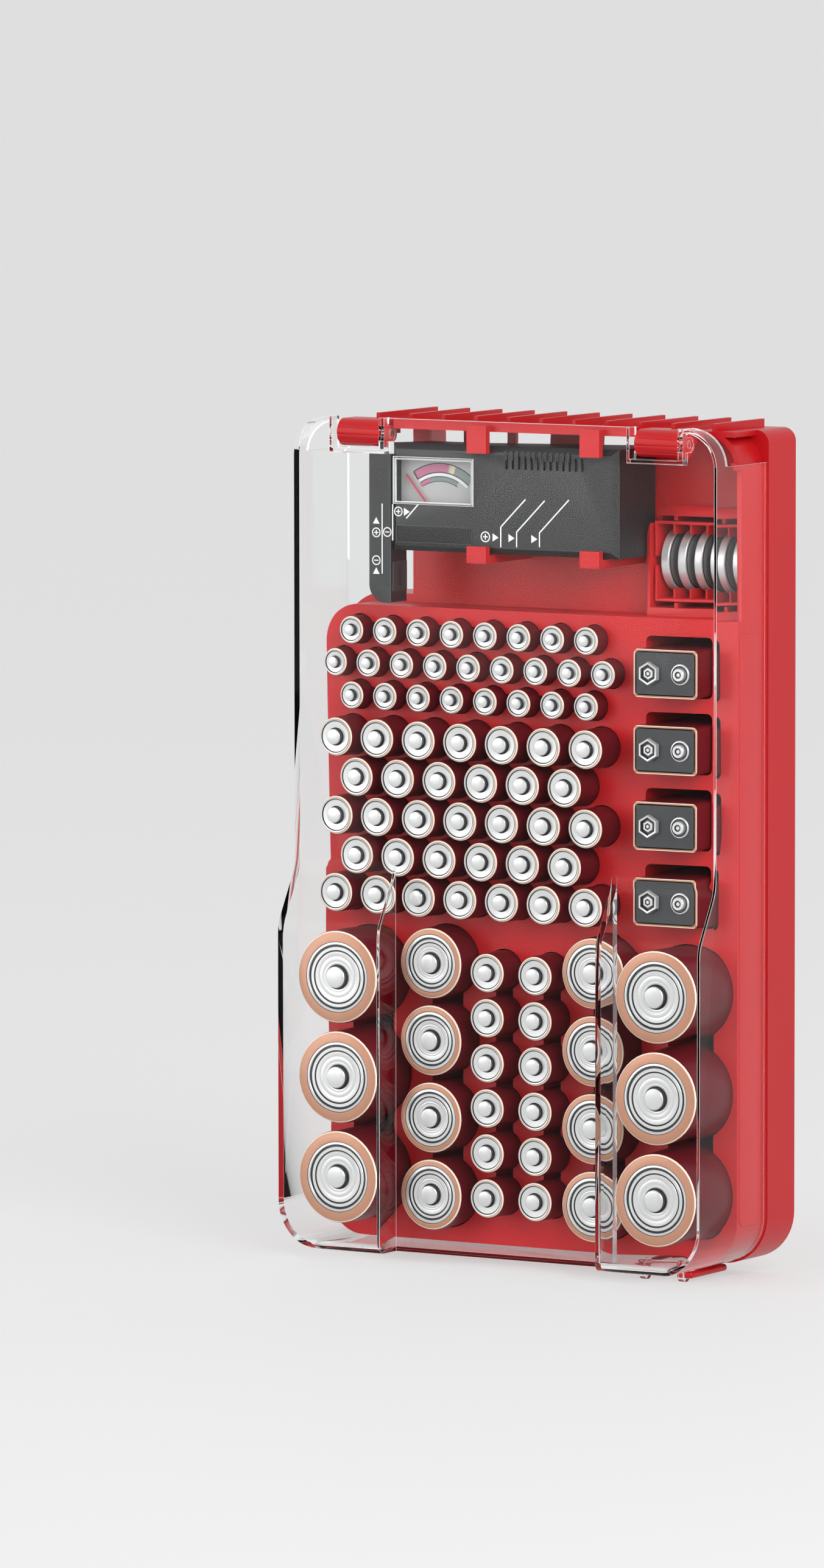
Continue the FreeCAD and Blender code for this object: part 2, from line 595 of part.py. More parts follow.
def cover_shape():
    wall, gap = v.cover_wall, v.ear_gap
    outer = slab(cover_outline(0), v.cover_back, v.shallow_front)
    inner = slab(cover_outline(wall), v.cover_back - 1, v.shallow_inner)
    shell = outer.fuse([bulge(-1, 0), bulge(1, 0)]).removeSplitter()
    hollow = inner.fuse([bulge(-1, wall), bulge(1, wall)]).removeSplitter()
    shell = shell.cut(hollow)
    # the top edge is open between the corners, and the side walls end below the pins
    end = v.barrel_centre + v.barrel_wide / 2 + 2 * gap + v.ear_wall
    shell = shell.cut([block(-end, end, 0, v.shallow_inner, v.cover_top - v.corner_high,
                             v.cover_top + 1),
                       block(-v.cover_half - 1, v.cover_half + 1, 0, v.hinge_front,
                             v.cover_top - v.corner_high, v.cover_top + 1)])
    ears, windows, bores = [], [], []
    for side in (-1, 1):
        left = side * v.barrel_centre - v.barrel_wide / 2 - gap
        wide = v.barrel_wide + 2 * gap
        bar_low = v.hinge_level - v.bar_drop - v.hinge_bar
        windows.append(block(left, left + wide, v.hinge_front, v.shallow_front + 1,
                             bar_low + v.hinge_bar, v.cover_top + 1))
        for start in (left - v.ear_wall, left + wide):
            plate = axle(start, v.ear_wall, v.hinge_front, v.hinge_level, v.ear_reach)
            web = block(start, start + v.ear_wall, v.hinge_front, v.shallow_front,
                        v.hinge_level - v.ear_reach, v.hinge_level + v.ear_reach)
            rib = block(start, start + v.ear_wall, v.hinge_front + v.ear_reach,
                        v.shallow_front, bar_low, v.cover_top)
            ears += [plate, web, rib]
            bores.append(axle(start - 1, v.ear_wall + 2, v.hinge_front, v.hinge_level,
                              v.hinge_pin / 2 + v.pin_fit))
        ears.append(block(left - v.ear_wall, left + wide + v.ear_wall,
                          v.hinge_front + v.ear_reach, v.shallow_front, bar_low,
                          bar_low + v.hinge_bar))
    lugs = []
    for side in (-1, 1):
        left = v.latch_x + side * v.lug_half - v.lug_wall / 2
        lugs += [axle(left, v.lug_wall, v.latch_front, v.latch_level, v.lug_reach),
                 block(left, left + v.lug_wall, v.latch_front - v.lug_reach,
                       v.latch_front + v.lug_reach, v.latch_level, v.cover_low + wall / 2)]
        bores.append(axle(left - 1, v.lug_wall + 2, v.latch_front, v.latch_level,
                          v.bail_wire / 2 + v.pin_fit))
    lugs.append(axle(v.latch_x - v.lug_half, 2 * v.lug_half, v.latch_front + v.lug_reach - 0.6,
                     v.cover_low - 0.4, 1.0))
    return shell.cut(windows).fuse(ears + lugs).cut(bores)


computed("clear_cover", cover_shape())

# ---------------------------------------------------------------- latch

bail_left = "latch_x - bail_half"
bail_right = "latch_x + bail_half"
pin_reach = "bail_half - lug_half + lug_wall / 2"
wire = "bail_wire / 2"


def ball(name, x, depth, level):
    piece = doc.addObject("Part::Sphere", name)
    tie(piece, Radius=wire)
    place(piece, x, depth, level)
    return piece


node("latch_bail", fuse("bail", [
    rod("bail_arm_left", wire, "bail_long", bail_left, "bar_depth", "latch_level", "out"),
    rod("bail_arm_right", wire, "bail_long", bail_right, "bar_depth", "latch_level", "out"),
    rod("bail_bar", wire, "2 * bail_half", bail_left, "bar_depth", "latch_level", "x"),
    rod("bail_pin_left", wire, pin_reach, bail_left, "latch_front", "latch_level", "x"),
    rod("bail_pin_right", wire, pin_reach, f"{bail_right} - ({pin_reach})", "latch_front",
        "latch_level", "x"),
    ball("bail_corner_1", bail_left, "bar_depth", "latch_level"),
    ball("bail_corner_2", bail_right, "bar_depth", "latch_level"),
    ball("bail_corner_3", bail_left, "latch_front", "latch_level"),
    ball("bail_corner_4", bail_right, "latch_front", "latch_level")]))

# ---------------------------------------------------------------- coin-cell drawer

drawer_deep = "drawer_front - drawer_back"
notch_low = "drawer_low + (drawer_tall - notch_tall) / 2"
drawer_ribs = []
for number in range(1, int(v.coin_count)):
    for end, low in (("low", "drawer_low + drawer_wall / 2"),
                     ("high", "drawer_low + drawer_tall - drawer_wall / 2 - rib_reach")):
        drawer_ribs.append(box(f"drawer_rib_{end}_{number}",
                               f"drawer_left + drawer_wall + {number} * bay - drawer_rib",
                               "drawer_rib", "drawer_back", f"{drawer_deep} - 1", low,
                               "rib_reach"))
drawer_box = cut("drawer_tub", box("drawer_block", "drawer_left", "drawer_wide", "drawer_back",
                                   drawer_deep, "drawer_low", "drawer_tall"), [
    box("drawer_hollow", "drawer_left + drawer_wall", "drawer_wide - 2 * drawer_wall",
        "drawer_back + drawer_wall", drawer_deep, "drawer_low + drawer_wall",
        "drawer_tall - 2 * drawer_wall"),
    box("drawer_notches", "drawer_left - 1", "drawer_wide + 2", "drawer_front - notch_deep",
        "notch_deep + 1", notch_low, "notch_tall")])
node("coin_drawer", fuse("drawer_whole", [drawer_box] + drawer_ribs))

coin_can = turned("coin_can", [
    ("0", "0"), ("coin_dia / 2", "0"), ("coin_dia / 2", "coin_thick - 0.4"),
    ("coin_cap / 2 + 0.4", "coin_thick - 0.1"), ("coin_cap / 2 + 0.4", "coin_thick - 1.2"),
    ("0", "coin_thick - 1.2")])
coin_seal = turned("coin_seal", [
    ("coin_cap / 2", "coin_thick - 1.2"), ("coin_cap / 2 + 0.4", "coin_thick - 1.2"),
    ("coin_cap / 2 + 0.4", "coin_thick - 0.2"), ("coin_cap / 2", "coin_thick - 0.2")])
coin_cap = turned("coin_cap_disc", [
    ("0", "coin_thick - 1.2"), ("coin_cap / 2", "coin_thick - 1.2"),
    ("coin_cap / 2", "coin_thick - 0.4"), ("coin_cap / 2 - 1", "coin_thick"),
    ("0", "coin_thick")])
coin_spots = [(v.drawer_left + v.drawer_wall + (i + 0.5) * v.bay
               - (v.drawer_rib + v.coin_thick) / 2, v.coin_depth, v.coin_level)
              for i in range(int(v.coin_count))]
along_x = Rotation(Vector(0, 1, 0), 90)
group("coin_cell_cans", coin_can, coin_spots, along_x)
group("coin_cell_seals", coin_seal, coin_spots, along_x)
group("coin_cell_caps", coin_cap, coin_spots, along_x)

# ---------------------------------------------------------------- round cells


def round_cells(kind, rows, dia, long, button, lip):
    """Body, steel cap, black seal ring and base disc of one size, and their places.

    lip is the width of the rolled shoulder round the cap."""
    rim = f"{long} - button_high"
    seat = f"{long} - button_high - cap_thick - 0.7"
    cap = f"{dia} / 2 - {lip} - seal_wide"
    body = turned(f"{kind}_body", [
        ("0", "base_thick"), (f"{dia} / 2 - 0.8", "base_thick"), (f"{dia} / 2", "1.3"),
        (f"{dia} / 2", f"{rim} - shoulder_high"), (f"{dia} / 2 - 0.7", rim),
        (f"{dia} / 2 - {lip}", rim), (f"{dia} / 2 - {lip}", seat), ("0", seat)])
    seal = turned(f"{kind}_seal", [
        (cap, seat), (f"{dia} / 2 - {lip}", seat), (f"{dia} / 2 - {lip}", f"{rim} - 0.2"),
        (cap, f"{rim} - 0.5")])
    top = turned(f"{kind}_cap", [
        ("0", seat), (cap, seat), (cap, f"{seat} + cap_thick"),
        (f"{button} / 2 + 0.5", f"{rim} - 0.5"), (f"{button} / 2", f"{rim} - 0.3"),
        (f"{button} / 2 - 0.1", f"{long} - 0.3"), (f"{button} / 2 - 0.4", long), ("0", long)])
    base = turned(f"{kind}_base", [
        ("0", "0"), (f"{dia} / 2 - 1.6", "0"), (f"{dia} / 2 - 1.2", "base_thick"),
        ("0", "base_thick")])
    spots = [(x, v.pocket_floor, level) for row in rows for x, level in row]
    group(f"{kind}_cell_bodies", body, spots)
    group(f"{kind}_cell_seals", seal, spots)
    group(f"{kind}_cell_caps", top, spots)
    group(f"{kind}_cell_bases", base, spots)


round_cells("aaa", AAA_ROWS, "aaa_dia", "aaa_long", "button_aaa", "0.9")
round_cells("aa", AA_ROWS, "aa_dia", "aa_long", "button_aa", "1.1")
round_cells("c", C_ROWS, "c_dia", "c_long", "button_c", "3.0")
round_cells("d", D_ROWS, "d_dia", "d_long", "button_d", "4.0")

# ---------------------------------------------------------------- nine-volt cells


def nine_case():
    half, thick = v.nine_wide / 2, v.nine_thick / 2
    shell = slab(rounded_box(-half, half, -thick, thick, v.nine_round), 0,
                 v.nine_case + v.nine_top)
    return shell.cut(slab(rounded_box(0.7 - half, half - 0.7, 0.7 - thick, thick - 0.7,
                                      v.nine_round - 0.5), v.nine_case, v.nine_case + 9))


def nine_plate():
    half, thick = v.nine_wide / 2 - 0.7, v.nine_thick / 2 - 0.7
    return slab(rounded_box(-half, half, -thick, thick, v.nine_round - 0.5), v.nine_case,
                v.nine_case + v.nine_top)


def round_snap():
    base = v.nine_case + v.nine_top
    stem = post(v.snap_half, 0, v.snap_dia / 2 - 0.4, base, base + v.snap_high)
    lip = post(v.snap_half, 0, v.snap_dia / 2, base + v.snap_high / 2, base + v.snap_high)
    dish = post(v.snap_half, 0, v.snap_dia / 2 - 1.2, base + v.snap_high - 0.5,
                base + v.snap_high + 1)
    foot = post(v.snap_half, 0, v.snap_dia / 2 + 1, base, base + 0.4)
    return stem.fuse([lip, foot]).cut(dish)


def hex_snap():
    base = v.nine_case + v.nine_top
    corners = [(-v.snap_half + v.hex_dia / 2 * math.cos(math.radians(turn)),
                v.hex_dia / 2 * math.sin(math.radians(turn)), 0) for turn in range(0, 360, 60)]
    crown = slab(outline(corners), base, base + v.snap_high)
    socket = post(-v.snap_half, 0, v.snap_dia / 2, base + 0.5, base + v.snap_high + 1)
    return crown.cut(socket)


def nine_group(label, solid):
    copies = []
    for x, level in NINE_SPOTS:
        copy = solid.removeSplitter()
        copy.translate(Vector(x, -v.pocket_floor, level))
        copies.append(copy)
    computed(label, Part.makeCompound(copies))


nine_group("nine_volt_cases", nine_case())
nine_group("nine_volt_tops", nine_plate())
nine_group("nine_volt_round_snaps", round_snap())
nine_group("nine_volt_hex_snaps", hex_snap())

# ---------------------------------------------------------------- battery tester

inner_left = "body_left + tester_wall"
inner_wide = "body_wide - 2 * tester_wall"
inner_low = "tester_low + tester_wall"
inner_tall = "tester_tall - 2 * tester_wall"
half_deep = "tester_deep / 2"
cavity_low = "pivot_level - 4"
cavity_tall = "tester_high - window_drop - pivot_level + 4"
front_inner = "tester_front_depth - tester_wall"
screw_spots = [("body_left + screw_inset", "tester_low + screw_foot"),
               ("body_left + screw_inset", "tester_high - screw_inset"),
               ("tester_right - screw_inset", "tester_low + screw_inset"),
               ("tester_right - screw_inset", "tester_high - screw_inset")]


def bevelled(name, base, size):
    """Bevels the four edges round the front of a block."""
    doc.recompute()
    front = base.Shape.BoundBox.YMin
    chosen = [number for number, edge in enumerate(base.Shape.Edges, start=1)
              if abs(edge.BoundBox.YMin - front) < 1e-6 and edge.BoundBox.YLength < 1e-6]
    bevel = doc.addObject("Part::Chamfer", name)
    bevel.Base = base
    bevel.Edges = [(number, size, size) for number in chosen]
    return bevel


def arm_notch(name):
    """A window in the left wall of a half housing, for the sliding arm's tongue."""
    return box(name, "body_left - 1", "tester_wall + 2",
               "tester_split - tongue_deep / 2 - arm_gap", "tongue_deep + 2 * arm_gap",
               "tongue_low - arm_gap", "tongue_tall + 2 * arm_gap")


def boss(name, spot, back, deep, radius):
    return rod(name, radius, deep, spot[0], back, spot[1], "out")


back_bosses = [boss(f"back_boss_{i}", spot, "tester_back_depth", half_deep, "tester_screw + 0.8")
               for i, spot in enumerate(screw_spots)]
back_holes = [boss(f"back_hole_{i}", spot, "tester_back_depth - 1", f"{half_deep} + 2",
                   "tester_screw / 2 + 0.1") for i, spot in enumerate(screw_spots)]
back_seats = [boss(f"back_seat_{i}", spot, "tester_back_depth - 1", "3", "tester_screw")
              for i, spot in enumerate(screw_spots)]
back_tub = cut("back_tub", box("back_block", "body_left", "body_wide", "tester_back_depth", half_deep,
                               "tester_low", "tester_tall"),
               [box("back_hollow", inner_left, inner_wide, "tester_back_depth + tester_wall",
                    half_deep, inner_low, inner_tall)])
bearing = rod("spindle_bearing", "spindle_dia / 2 + spindle_fit", "2", "pivot_x",
              "tester_back_depth + tester_wall - 1", "pivot_level", "out")
node("tester_back", cut("tester_back_shell", fuse("back_with_bosses", [back_tub] + back_bosses),
                        back_holes + back_seats + [arm_notch("back_notch"), bearing]))

front_block = bevelled("front_bevelled", box("front_block", "body_left", "body_wide",
                                             "tester_split", half_deep, "tester_low",
                                             "tester_tall"), v.tester_bevel)
front_tub = cut("front_tub", front_block,
                [box("front_hollow", inner_left, inner_wide, "tester_split - 1", half_deep
                     + " - tester_wall + 1", inner_low, inner_tall)])
front_bosses = [boss(f"front_boss_{i}", spot, "tester_split", f"{half_deep} - 1",
                     "tester_screw + 0.4") for i, spot in enumerate(screw_spots)]
front_holes = [boss(f"front_hole_{i}", spot, "tester_split - 1", f"{half_deep} - 2",
                    "tester_screw / 2") for i, spot in enumerate(screw_spots)]
meter_frame = box("meter_frame", "window_x - 1", "window_wide + 2", "dial_front",
                  f"{front_inner} - dial_front + 0.2", f"{cavity_low} - 1", f"{cavity_tall} + 2")
meter_cavity = box("meter_cavity", "window_x", "window_wide", "dial_front - 1",
                   f"{front_inner} - dial_front + 1", cavity_low, cavity_tall)
meter_opening = box("meter_opening", "window_x", "window_wide", f"{front_inner} - 1",
                    "tester_wall + 2", "window_low", "window_high")
grooves = [box(f"grip_groove_{i}", f"groove_left - tester_left + {i} * groove_pitch",
               "groove_wide", "tester_front_depth - groove_deep", "groove_deep + 1",
               "tester_high - groove_drop - groove_tall", "groove_tall")
           for i in range(int(v.groove_count))]
panel = box("front_panel", "panel_left - tester_left", "panel_wide",
            "tester_front_depth - panel_deep", "1", "tester_low + panel_foot", "panel_tall")
node("tester_front", cut("tester_front_shell",
                         fuse("front_with_bosses", [front_tub, meter_frame] + front_bosses),
                         front_holes + grooves
                         + [meter_cavity, meter_opening, panel, arm_notch("front_notch")]))

node("meter_window", cut("window_pane_trimmed", box(
    "window_pane_block", "window_x + 0.1", "window_wide - 0.2",
    "tester_front_depth - pane_set - window_pane", "window_pane", "window_low + 0.1",
    "window_high - 0.2"), [box("window_pane_step", "window_x", "window_wide",
                               "tester_front_depth - pane_set - 0.3", "1",
                               "window_low + window_high - 1", "2")]))
node("meter_dial", cut("dial_plate", box(
    "dial_block", "window_x + 0.1", "window_wide - 0.2", "dial_front - dial_thick",
    "dial_thick", f"{cavity_low} + 0.1", f"{cavity_tall} - 0.2"),
    [rod("dial_hole", "spindle_dia / 2 + spindle_fit", "dial_thick + 2", "pivot_x",
         "dial_front - dial_thick - 1", "pivot_level", "out")]))
node("meter_magnet", cut("magnet_ring", rod(
    "magnet_disc", "magnet_dia / 2", "magnet_thick", "pivot_x", "tester_back_depth + tester_wall",
    "pivot_level", "out"), [rod("magnet_bore", "magnet_hole / 2", "magnet_thick + 2", "pivot_x",
                                "tester_back_depth + tester_wall - 1", "pivot_level", "out")]))

spindle_back = "tester_back_depth + tester_wall - 0.7"
node("needle_spindle", fuse("spindle_whole", [
    rod("spindle_rod", "spindle_dia / 2", f"dial_front + 1.9 - ({spindle_back})", "pivot_x",
        spindle_back, "pivot_level", "out"),
    rod("spindle_collar", "spindle_dia", "0.6", "pivot_x", "dial_front + 0.3", "pivot_level",
        "out")]))
node("meter_coil", cut("coil_former", box(
    "coil_block", "pivot_x - coil_side / 2", "coil_side", "tester_back_depth + tester_wall + 1.2",
    "6.6", "pivot_level - coil_side / 2", "coil_side"),
    [rod("coil_hole", "spindle_dia / 2", "9", "pivot_x", "tester_back_depth + tester_wall",
         "pivot_level", "out")]))


def needle_bar(name, start, long, wide):
    """A flat bar that leaves the pivot at the needle's resting angle, left of upright."""
    bar = doc.addObject("Part::Box", name)
    turn = math.radians(v.needle_turn)
    bar.Placement = Placement(Vector(), Rotation(Vector(0, 1, 0), -v.needle_turn))
    tie(bar, Length=wide, Width="0.5", Height=long)
    place(bar, f"pivot_x - {math.sin(turn)} * ({start}) - {math.cos(turn)} * ({wide}) / 2",
          "dial_front + 1.4",
          f"pivot_level + {math.cos(turn)} * ({start}) - {math.sin(turn)} * ({wide}) / 2")
    return bar


hub = rod("needle_hub", "1.5", "0.5", "pivot_x", "dial_front + 0.9", "pivot_level", "out")
node("meter_needle", cut("needle_blade", fuse("needle_blank", [
    needle_bar("needle_pointer", "0", "needle_long", "needle_wide"),
    needle_bar("needle_tail", "-3", "3", "1.1"), hub]),
    [rod("needle_eye", "spindle_dia / 2", "3", "pivot_x", "dial_front", "pivot_level", "out")]))

leg = box("arm_leg", "-tester_left", "leg_wide", "leg_back", "leg_deep", "deck_top + leg_set",
          "tester_tall + tester_foot - leg_set - leg_drop")
doc.recompute()
rounded_leg = doc.addObject("Part::Fillet", "arm_leg_rounded")
rounded_leg.Base = leg
rounded_leg.Edges = [(number, v.leg_round, v.leg_round)
                     for number, edge in enumerate(leg.Shape.Edges, start=1)
                     if edge.BoundBox.XMax + v.tester_left < 0.1
                     and edge.BoundBox.ZMax < leg.Shape.BoundBox.ZMin + 0.1]
node("tester_arm", fuse("arm_whole", [rounded_leg, box(
    "arm_tongue", "leg_wide / 2 - tester_left", "tongue_long - leg_wide / 2",
    "tester_split - tongue_deep / 2", "tongue_deep", "tongue_low", "tongue_tall")]))
node("arm_contact", cut("arm_plate", box(
    "arm_plate_block", "leg_wide - tester_left", "contact_thick", "leg_back + 1",
    "leg_deep - 2", "deck_top + leg_set + 4", "11"),
    [box("arm_plate_slot", "leg_wide - tester_left - 1", "3", "leg_back + leg_deep / 2 - 1", "2",
         "deck_top + leg_set + 6", "7")]))
node("body_contact", cut("body_strip", box(
    "body_strip_block", "body_left + 5", "25", "tester_split - contact_wide / 2",
    "contact_wide", "tester_low - contact_thick", "contact_thick"),
    [box("body_strip_slot", "body_left + 9", "17", "tester_split - 1", "2",
         "tester_low - 1", "2")]))

screw = turned("tester_screw_blank", [
    ("0", "0"), ("tester_screw - 0.3", "0"), ("tester_screw - 0.3", "1.2"),
    ("tester_screw / 2", "1.6"), ("tester_screw / 2", "17"), ("0", "18.5")])
contact = turned("contact_disc", [("0", "0"), ("3", "0"), ("2.7", "contact_thick"),
                                  ("0", "contact_thick")])
resistor = turned("resistor_blank", [("0", "0"), ("1.1", "0"), ("1.5", "0.8"), ("1.5", "1.8"),
                                     ("1.2", "2.4"), ("1.2", "5.6"), ("1.5", "6.2"),
                                     ("1.5", "7.2"), ("1.1", "8"), ("0", "8")])
group("tester_screws", screw,
      [(x, v.tester_back_depth + 0.4, level) for x, level in
       ((v.body_left + v.screw_inset, v.tester_low + v.screw_foot),
        (v.body_left + v.screw_inset, v.tester_high - v.screw_inset),
        (v.tester_right - v.screw_inset, v.tester_low + v.screw_inset),
        (v.tester_right - v.screw_inset, v.tester_high - v.screw_inset))])
group("nine_volt_contacts", contact,
      [(-v.tester_left, v.leg_back + v.leg_deep / 2, v.tester_low + rise)
       for rise in (v.snap_half + 0.85, 0.85 - v.snap_half)],
      Rotation(Vector(0, 1, 0), -90))
group("load_resistors", resistor,
      [(4.0, v.tester_back_depth + v.tester_wall + 1.5, v.tester_high - drop)
       for drop in (v.resistor_drop, v.resistor_drop + v.resistor_gap)], along_x)

# ---------------------------------------------------------------- check and write

doc.recompute()
for item in doc.Objects:
    if any(state in ("Invalid", "Error") for state in item.State):
        raise RuntimeError(f"{item.Name} did not recompute: {item.State}")
for label, piece in nodes.items():
    if piece.Shape.isNull() or not piece.Shape.isValid() or not piece.Shape.Solids:
        raise RuntimeError(f"{label} has no valid solid")
for label, piece in nodes.items():
    piece.Shape.exportStep(f"parts/{label}.step")
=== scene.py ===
import bpy
import math
from mathutils import Matrix, Vector


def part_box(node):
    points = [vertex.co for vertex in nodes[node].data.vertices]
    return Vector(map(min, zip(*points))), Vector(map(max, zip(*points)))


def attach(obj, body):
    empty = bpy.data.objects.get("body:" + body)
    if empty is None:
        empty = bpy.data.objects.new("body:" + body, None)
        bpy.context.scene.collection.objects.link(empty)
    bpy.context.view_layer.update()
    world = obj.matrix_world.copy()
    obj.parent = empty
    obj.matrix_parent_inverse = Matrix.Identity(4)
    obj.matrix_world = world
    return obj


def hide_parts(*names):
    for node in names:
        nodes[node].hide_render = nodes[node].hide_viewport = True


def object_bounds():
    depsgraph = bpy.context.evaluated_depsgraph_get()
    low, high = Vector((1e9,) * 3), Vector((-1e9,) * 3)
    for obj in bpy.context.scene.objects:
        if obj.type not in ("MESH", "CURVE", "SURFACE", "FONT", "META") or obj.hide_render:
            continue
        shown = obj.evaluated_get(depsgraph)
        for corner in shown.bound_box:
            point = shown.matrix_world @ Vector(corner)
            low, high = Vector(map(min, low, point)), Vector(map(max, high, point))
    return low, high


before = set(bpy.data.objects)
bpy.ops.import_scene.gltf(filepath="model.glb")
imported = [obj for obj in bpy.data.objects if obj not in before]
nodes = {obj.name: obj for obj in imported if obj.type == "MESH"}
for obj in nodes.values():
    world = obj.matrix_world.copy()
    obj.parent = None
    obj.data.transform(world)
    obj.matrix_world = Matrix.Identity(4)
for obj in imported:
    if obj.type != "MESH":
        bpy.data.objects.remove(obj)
cad_low, cad_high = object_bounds()

# ---------------------------------------------------------------- tray
# The tray is one injection moulding in bright red styrene: satin, with the faint flow marks and
# grain of the mould. The real walls are a little glossier; here they take the deck's finish.

mm = 0.001


def finish(name, colour, rough, metallic=0.0, mirror=0.5):
    """A new material with its shader, and the colour, roughness and gloss of its surface."""
    stuff = bpy.data.materials.new(name)
    stuff.use_nodes = True
    shader = stuff.node_tree.nodes["Principled BSDF"]
    shader.inputs["Base Color"].default_value = (*colour, 1)
    shader.inputs["Roughness"].default_value = rough
    shader.inputs["Metallic"].default_value = metallic
    shader.inputs["Specular IOR Level"].default_value = mirror
    return stuff, stuff.node_tree, shader


def mottled(name, colour, rough, uneven, grain, height, spread, metallic=0.0, mirror=0.5):
    """A finish with fine noise in its bump and roughness, and broad noise in its colour.

    uneven is how far the roughness strays, grain the noise's scale, height the depth of the
    bump, and spread the share by which the colour strays.
    """
    stuff, tree, shader = finish(name, colour, rough, metallic, mirror)
    make, link = tree.nodes.new, tree.links.new
    place = make("ShaderNodeTexCoord").outputs["Object"]
    fine, broad = make("ShaderNodeTexNoise"), make("ShaderNodeTexNoise")
    fine.inputs["Scale"].default_value = grain
    fine.inputs["Detail"].default_value = 3
    broad.inputs["Scale"].default_value = grain / 30
    broad.inputs["Detail"].default_value = 4
    link(place, fine.inputs["Vector"])
    link(place, broad.inputs["Vector"])
    tint = make("ShaderNodeMix")
    tint.data_type = "RGBA"
    tint.inputs["A"].default_value = (*[c * (1 - spread) for c in colour], 1)
    tint.inputs["B"].default_value = (*[min(1, c * (1 + spread)) for c in colour], 1)
    link(broad.outputs["Fac"], tint.inputs["Factor"])
    link(tint.outputs["Result"], shader.inputs["Base Color"])
    gloss = make("ShaderNodeMapRange")
    gloss.inputs["To Min"].default_value = rough - uneven
    gloss.inputs["To Max"].default_value = rough + uneven
    link(fine.outputs["Fac"], gloss.inputs["Value"])
    link(gloss.outputs["Result"], shader.inputs["Roughness"])
    bump = make("ShaderNodeBump")
    bump.inputs["Strength"].default_value = 0.5
    bump.inputs["Distance"].default_value = height
    link(fine.outputs["Fac"], bump.inputs["Height"])
    link(bump.outputs["Normal"], shader.inputs["Normal"])
    return stuff


def paint(node, stuff):
    nodes[node].data.materials.clear()
    nodes[node].data.materials.append(stuff)


def softened(node, name, layers, body, width=0.3 * mm, segments=1, angle=35):
    """A merged copy of a CAD node with its sharp edges rounded, which stands for the node.

    Its faces take the first of the finishes in layers, and its rounded edges the last.
    """
    piece = nodes[node].copy()
    piece.data = nodes[node].data.copy()
    piece.name = piece.data.name = name
    piece.data.materials.clear()
    for layer in layers:
        piece.data.materials.append(layer)
    bpy.context.scene.collection.objects.link(piece)
    bpy.ops.object.select_all(action="DESELECT")
    piece.select_set(True)
    bpy.context.view_layer.objects.active = piece
    bpy.ops.object.mode_set(mode="EDIT")
    bpy.ops.mesh.select_all(action="SELECT")
    bpy.ops.mesh.remove_doubles(threshold=2e-6)
    bpy.ops.mesh.dissolve_limited(angle_limit=math.radians(1))
    bpy.ops.object.mode_set(mode="OBJECT")
    bpy.ops.object.shade_smooth_by_angle(angle=math.radians(angle))
    rounding = piece.modifiers.new("rounded_edges", "BEVEL")
    rounding.width = width
    rounding.segments = segments
    rounding.limit_method = "ANGLE"
    rounding.angle_limit = math.radians(angle)
    rounding.harden_normals = True
    rounding.material = len(layers) - 1
    bpy.ops.object.modifier_apply(modifier=rounding.name)
    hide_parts(node)
    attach(piece, body)
    return piece


red = (0.54, 0.007, 0.011)
red_plastic = mottled("red_moulded_plastic", red, rough=0.36, uneven=0.05, grain=900,
                      height=0.03 * mm, spread=0.06, mirror=0.30)
softened("tray", "tray_moulding", (red_plastic,), "tray")

# a low flat rib, with round ends, along the right side wall
rib_x, rib_level, rib_top, rib_foot = 86.6 * mm, 30.5 * mm, -47 * mm, -262 * mm
rib_thick, rib_wide, rib_end, rib_edge = 0.6 * mm, 13.0 * mm, 3.0 * mm, 0.2 * mm
bpy.ops.object.select_all(action="DESELECT")
bpy.ops.mesh.primitive_cube_add(size=1, location=(rib_x, -rib_level, (rib_top + rib_foot) / 2))
rib = bpy.context.object
rib.name = rib.data.name = "side_wall_rib"
rib.scale = (rib_thick, rib_wide, rib_top - rib_foot)
rib.data.materials.append(red_plastic)
bpy.ops.object.transform_apply(location=True, rotation=True, scale=True)
bpy.ops.object.mode_set(mode="EDIT")
bpy.ops.mesh.select_mode(type="EDGE")
bpy.ops.mesh.select_all(action="DESELECT")
bpy.ops.object.mode_set(mode="OBJECT")
for edge in rib.data.edges:
    ends = [rib.data.vertices[i].co for i in edge.vertices]
    edge.select = abs(ends[0].x - ends[1].x) > rib_thick / 2
bpy.ops.object.mode_set(mode="EDIT")
bpy.ops.mesh.bevel(offset=rib_end, segments=5, affect="EDGES")
bpy.ops.object.mode_set(mode="OBJECT")
rounding = rib.modifiers.new("rounded_edges", "BEVEL")
rounding.width = rib_edge
rounding.angle_limit = math.radians(40)
bpy.ops.object.modifier_apply(modifier=rounding.name)
bpy.ops.object.shade_smooth_by_angle(angle=math.radians(35))
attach(rib, "tray")

# ---------------------------------------------------------------- coin drawer
# A small open-topped drawer, moulded in the same red as the tray, which slides out between
# two rails. Five coin cells stand in it on edge, each a pressed steel can whose lip is
# crimped over a black gasket and a plain cap.

softened("coin_drawer", "coin_drawer_moulding", (red_plastic,), "drawer")
can_steel = (0.62, 0.635, 0.64)
coin_steel = mottled("coin_cell_steel", can_steel, rough=0.34, uneven=0.08, grain=1500,
                     height=0.01 * mm, spread=0.08, metallic=0.55)
cap_steel = (0.36, 0.37, 0.38)
coin_cap_steel = mottled("coin_cap_steel", cap_steel, rough=0.30, uneven=0.08, grain=1500,
                         height=0.01 * mm, spread=0.10, metallic=0.7)
rubber = (0.012, 0.012, 0.013)
gasket = mottled("black_gasket", rubber, rough=0.5, uneven=0.06, grain=2000, height=0.01 * mm,
                 spread=0.2)
softened("coin_cell_cans", "coin_cans", (coin_steel,), "drawer", 0.4 * mm, 2)
softened("coin_cell_caps", "coin_caps", (coin_cap_steel,), "drawer", segments=2)
paint("coin_cell_seals", gasket)

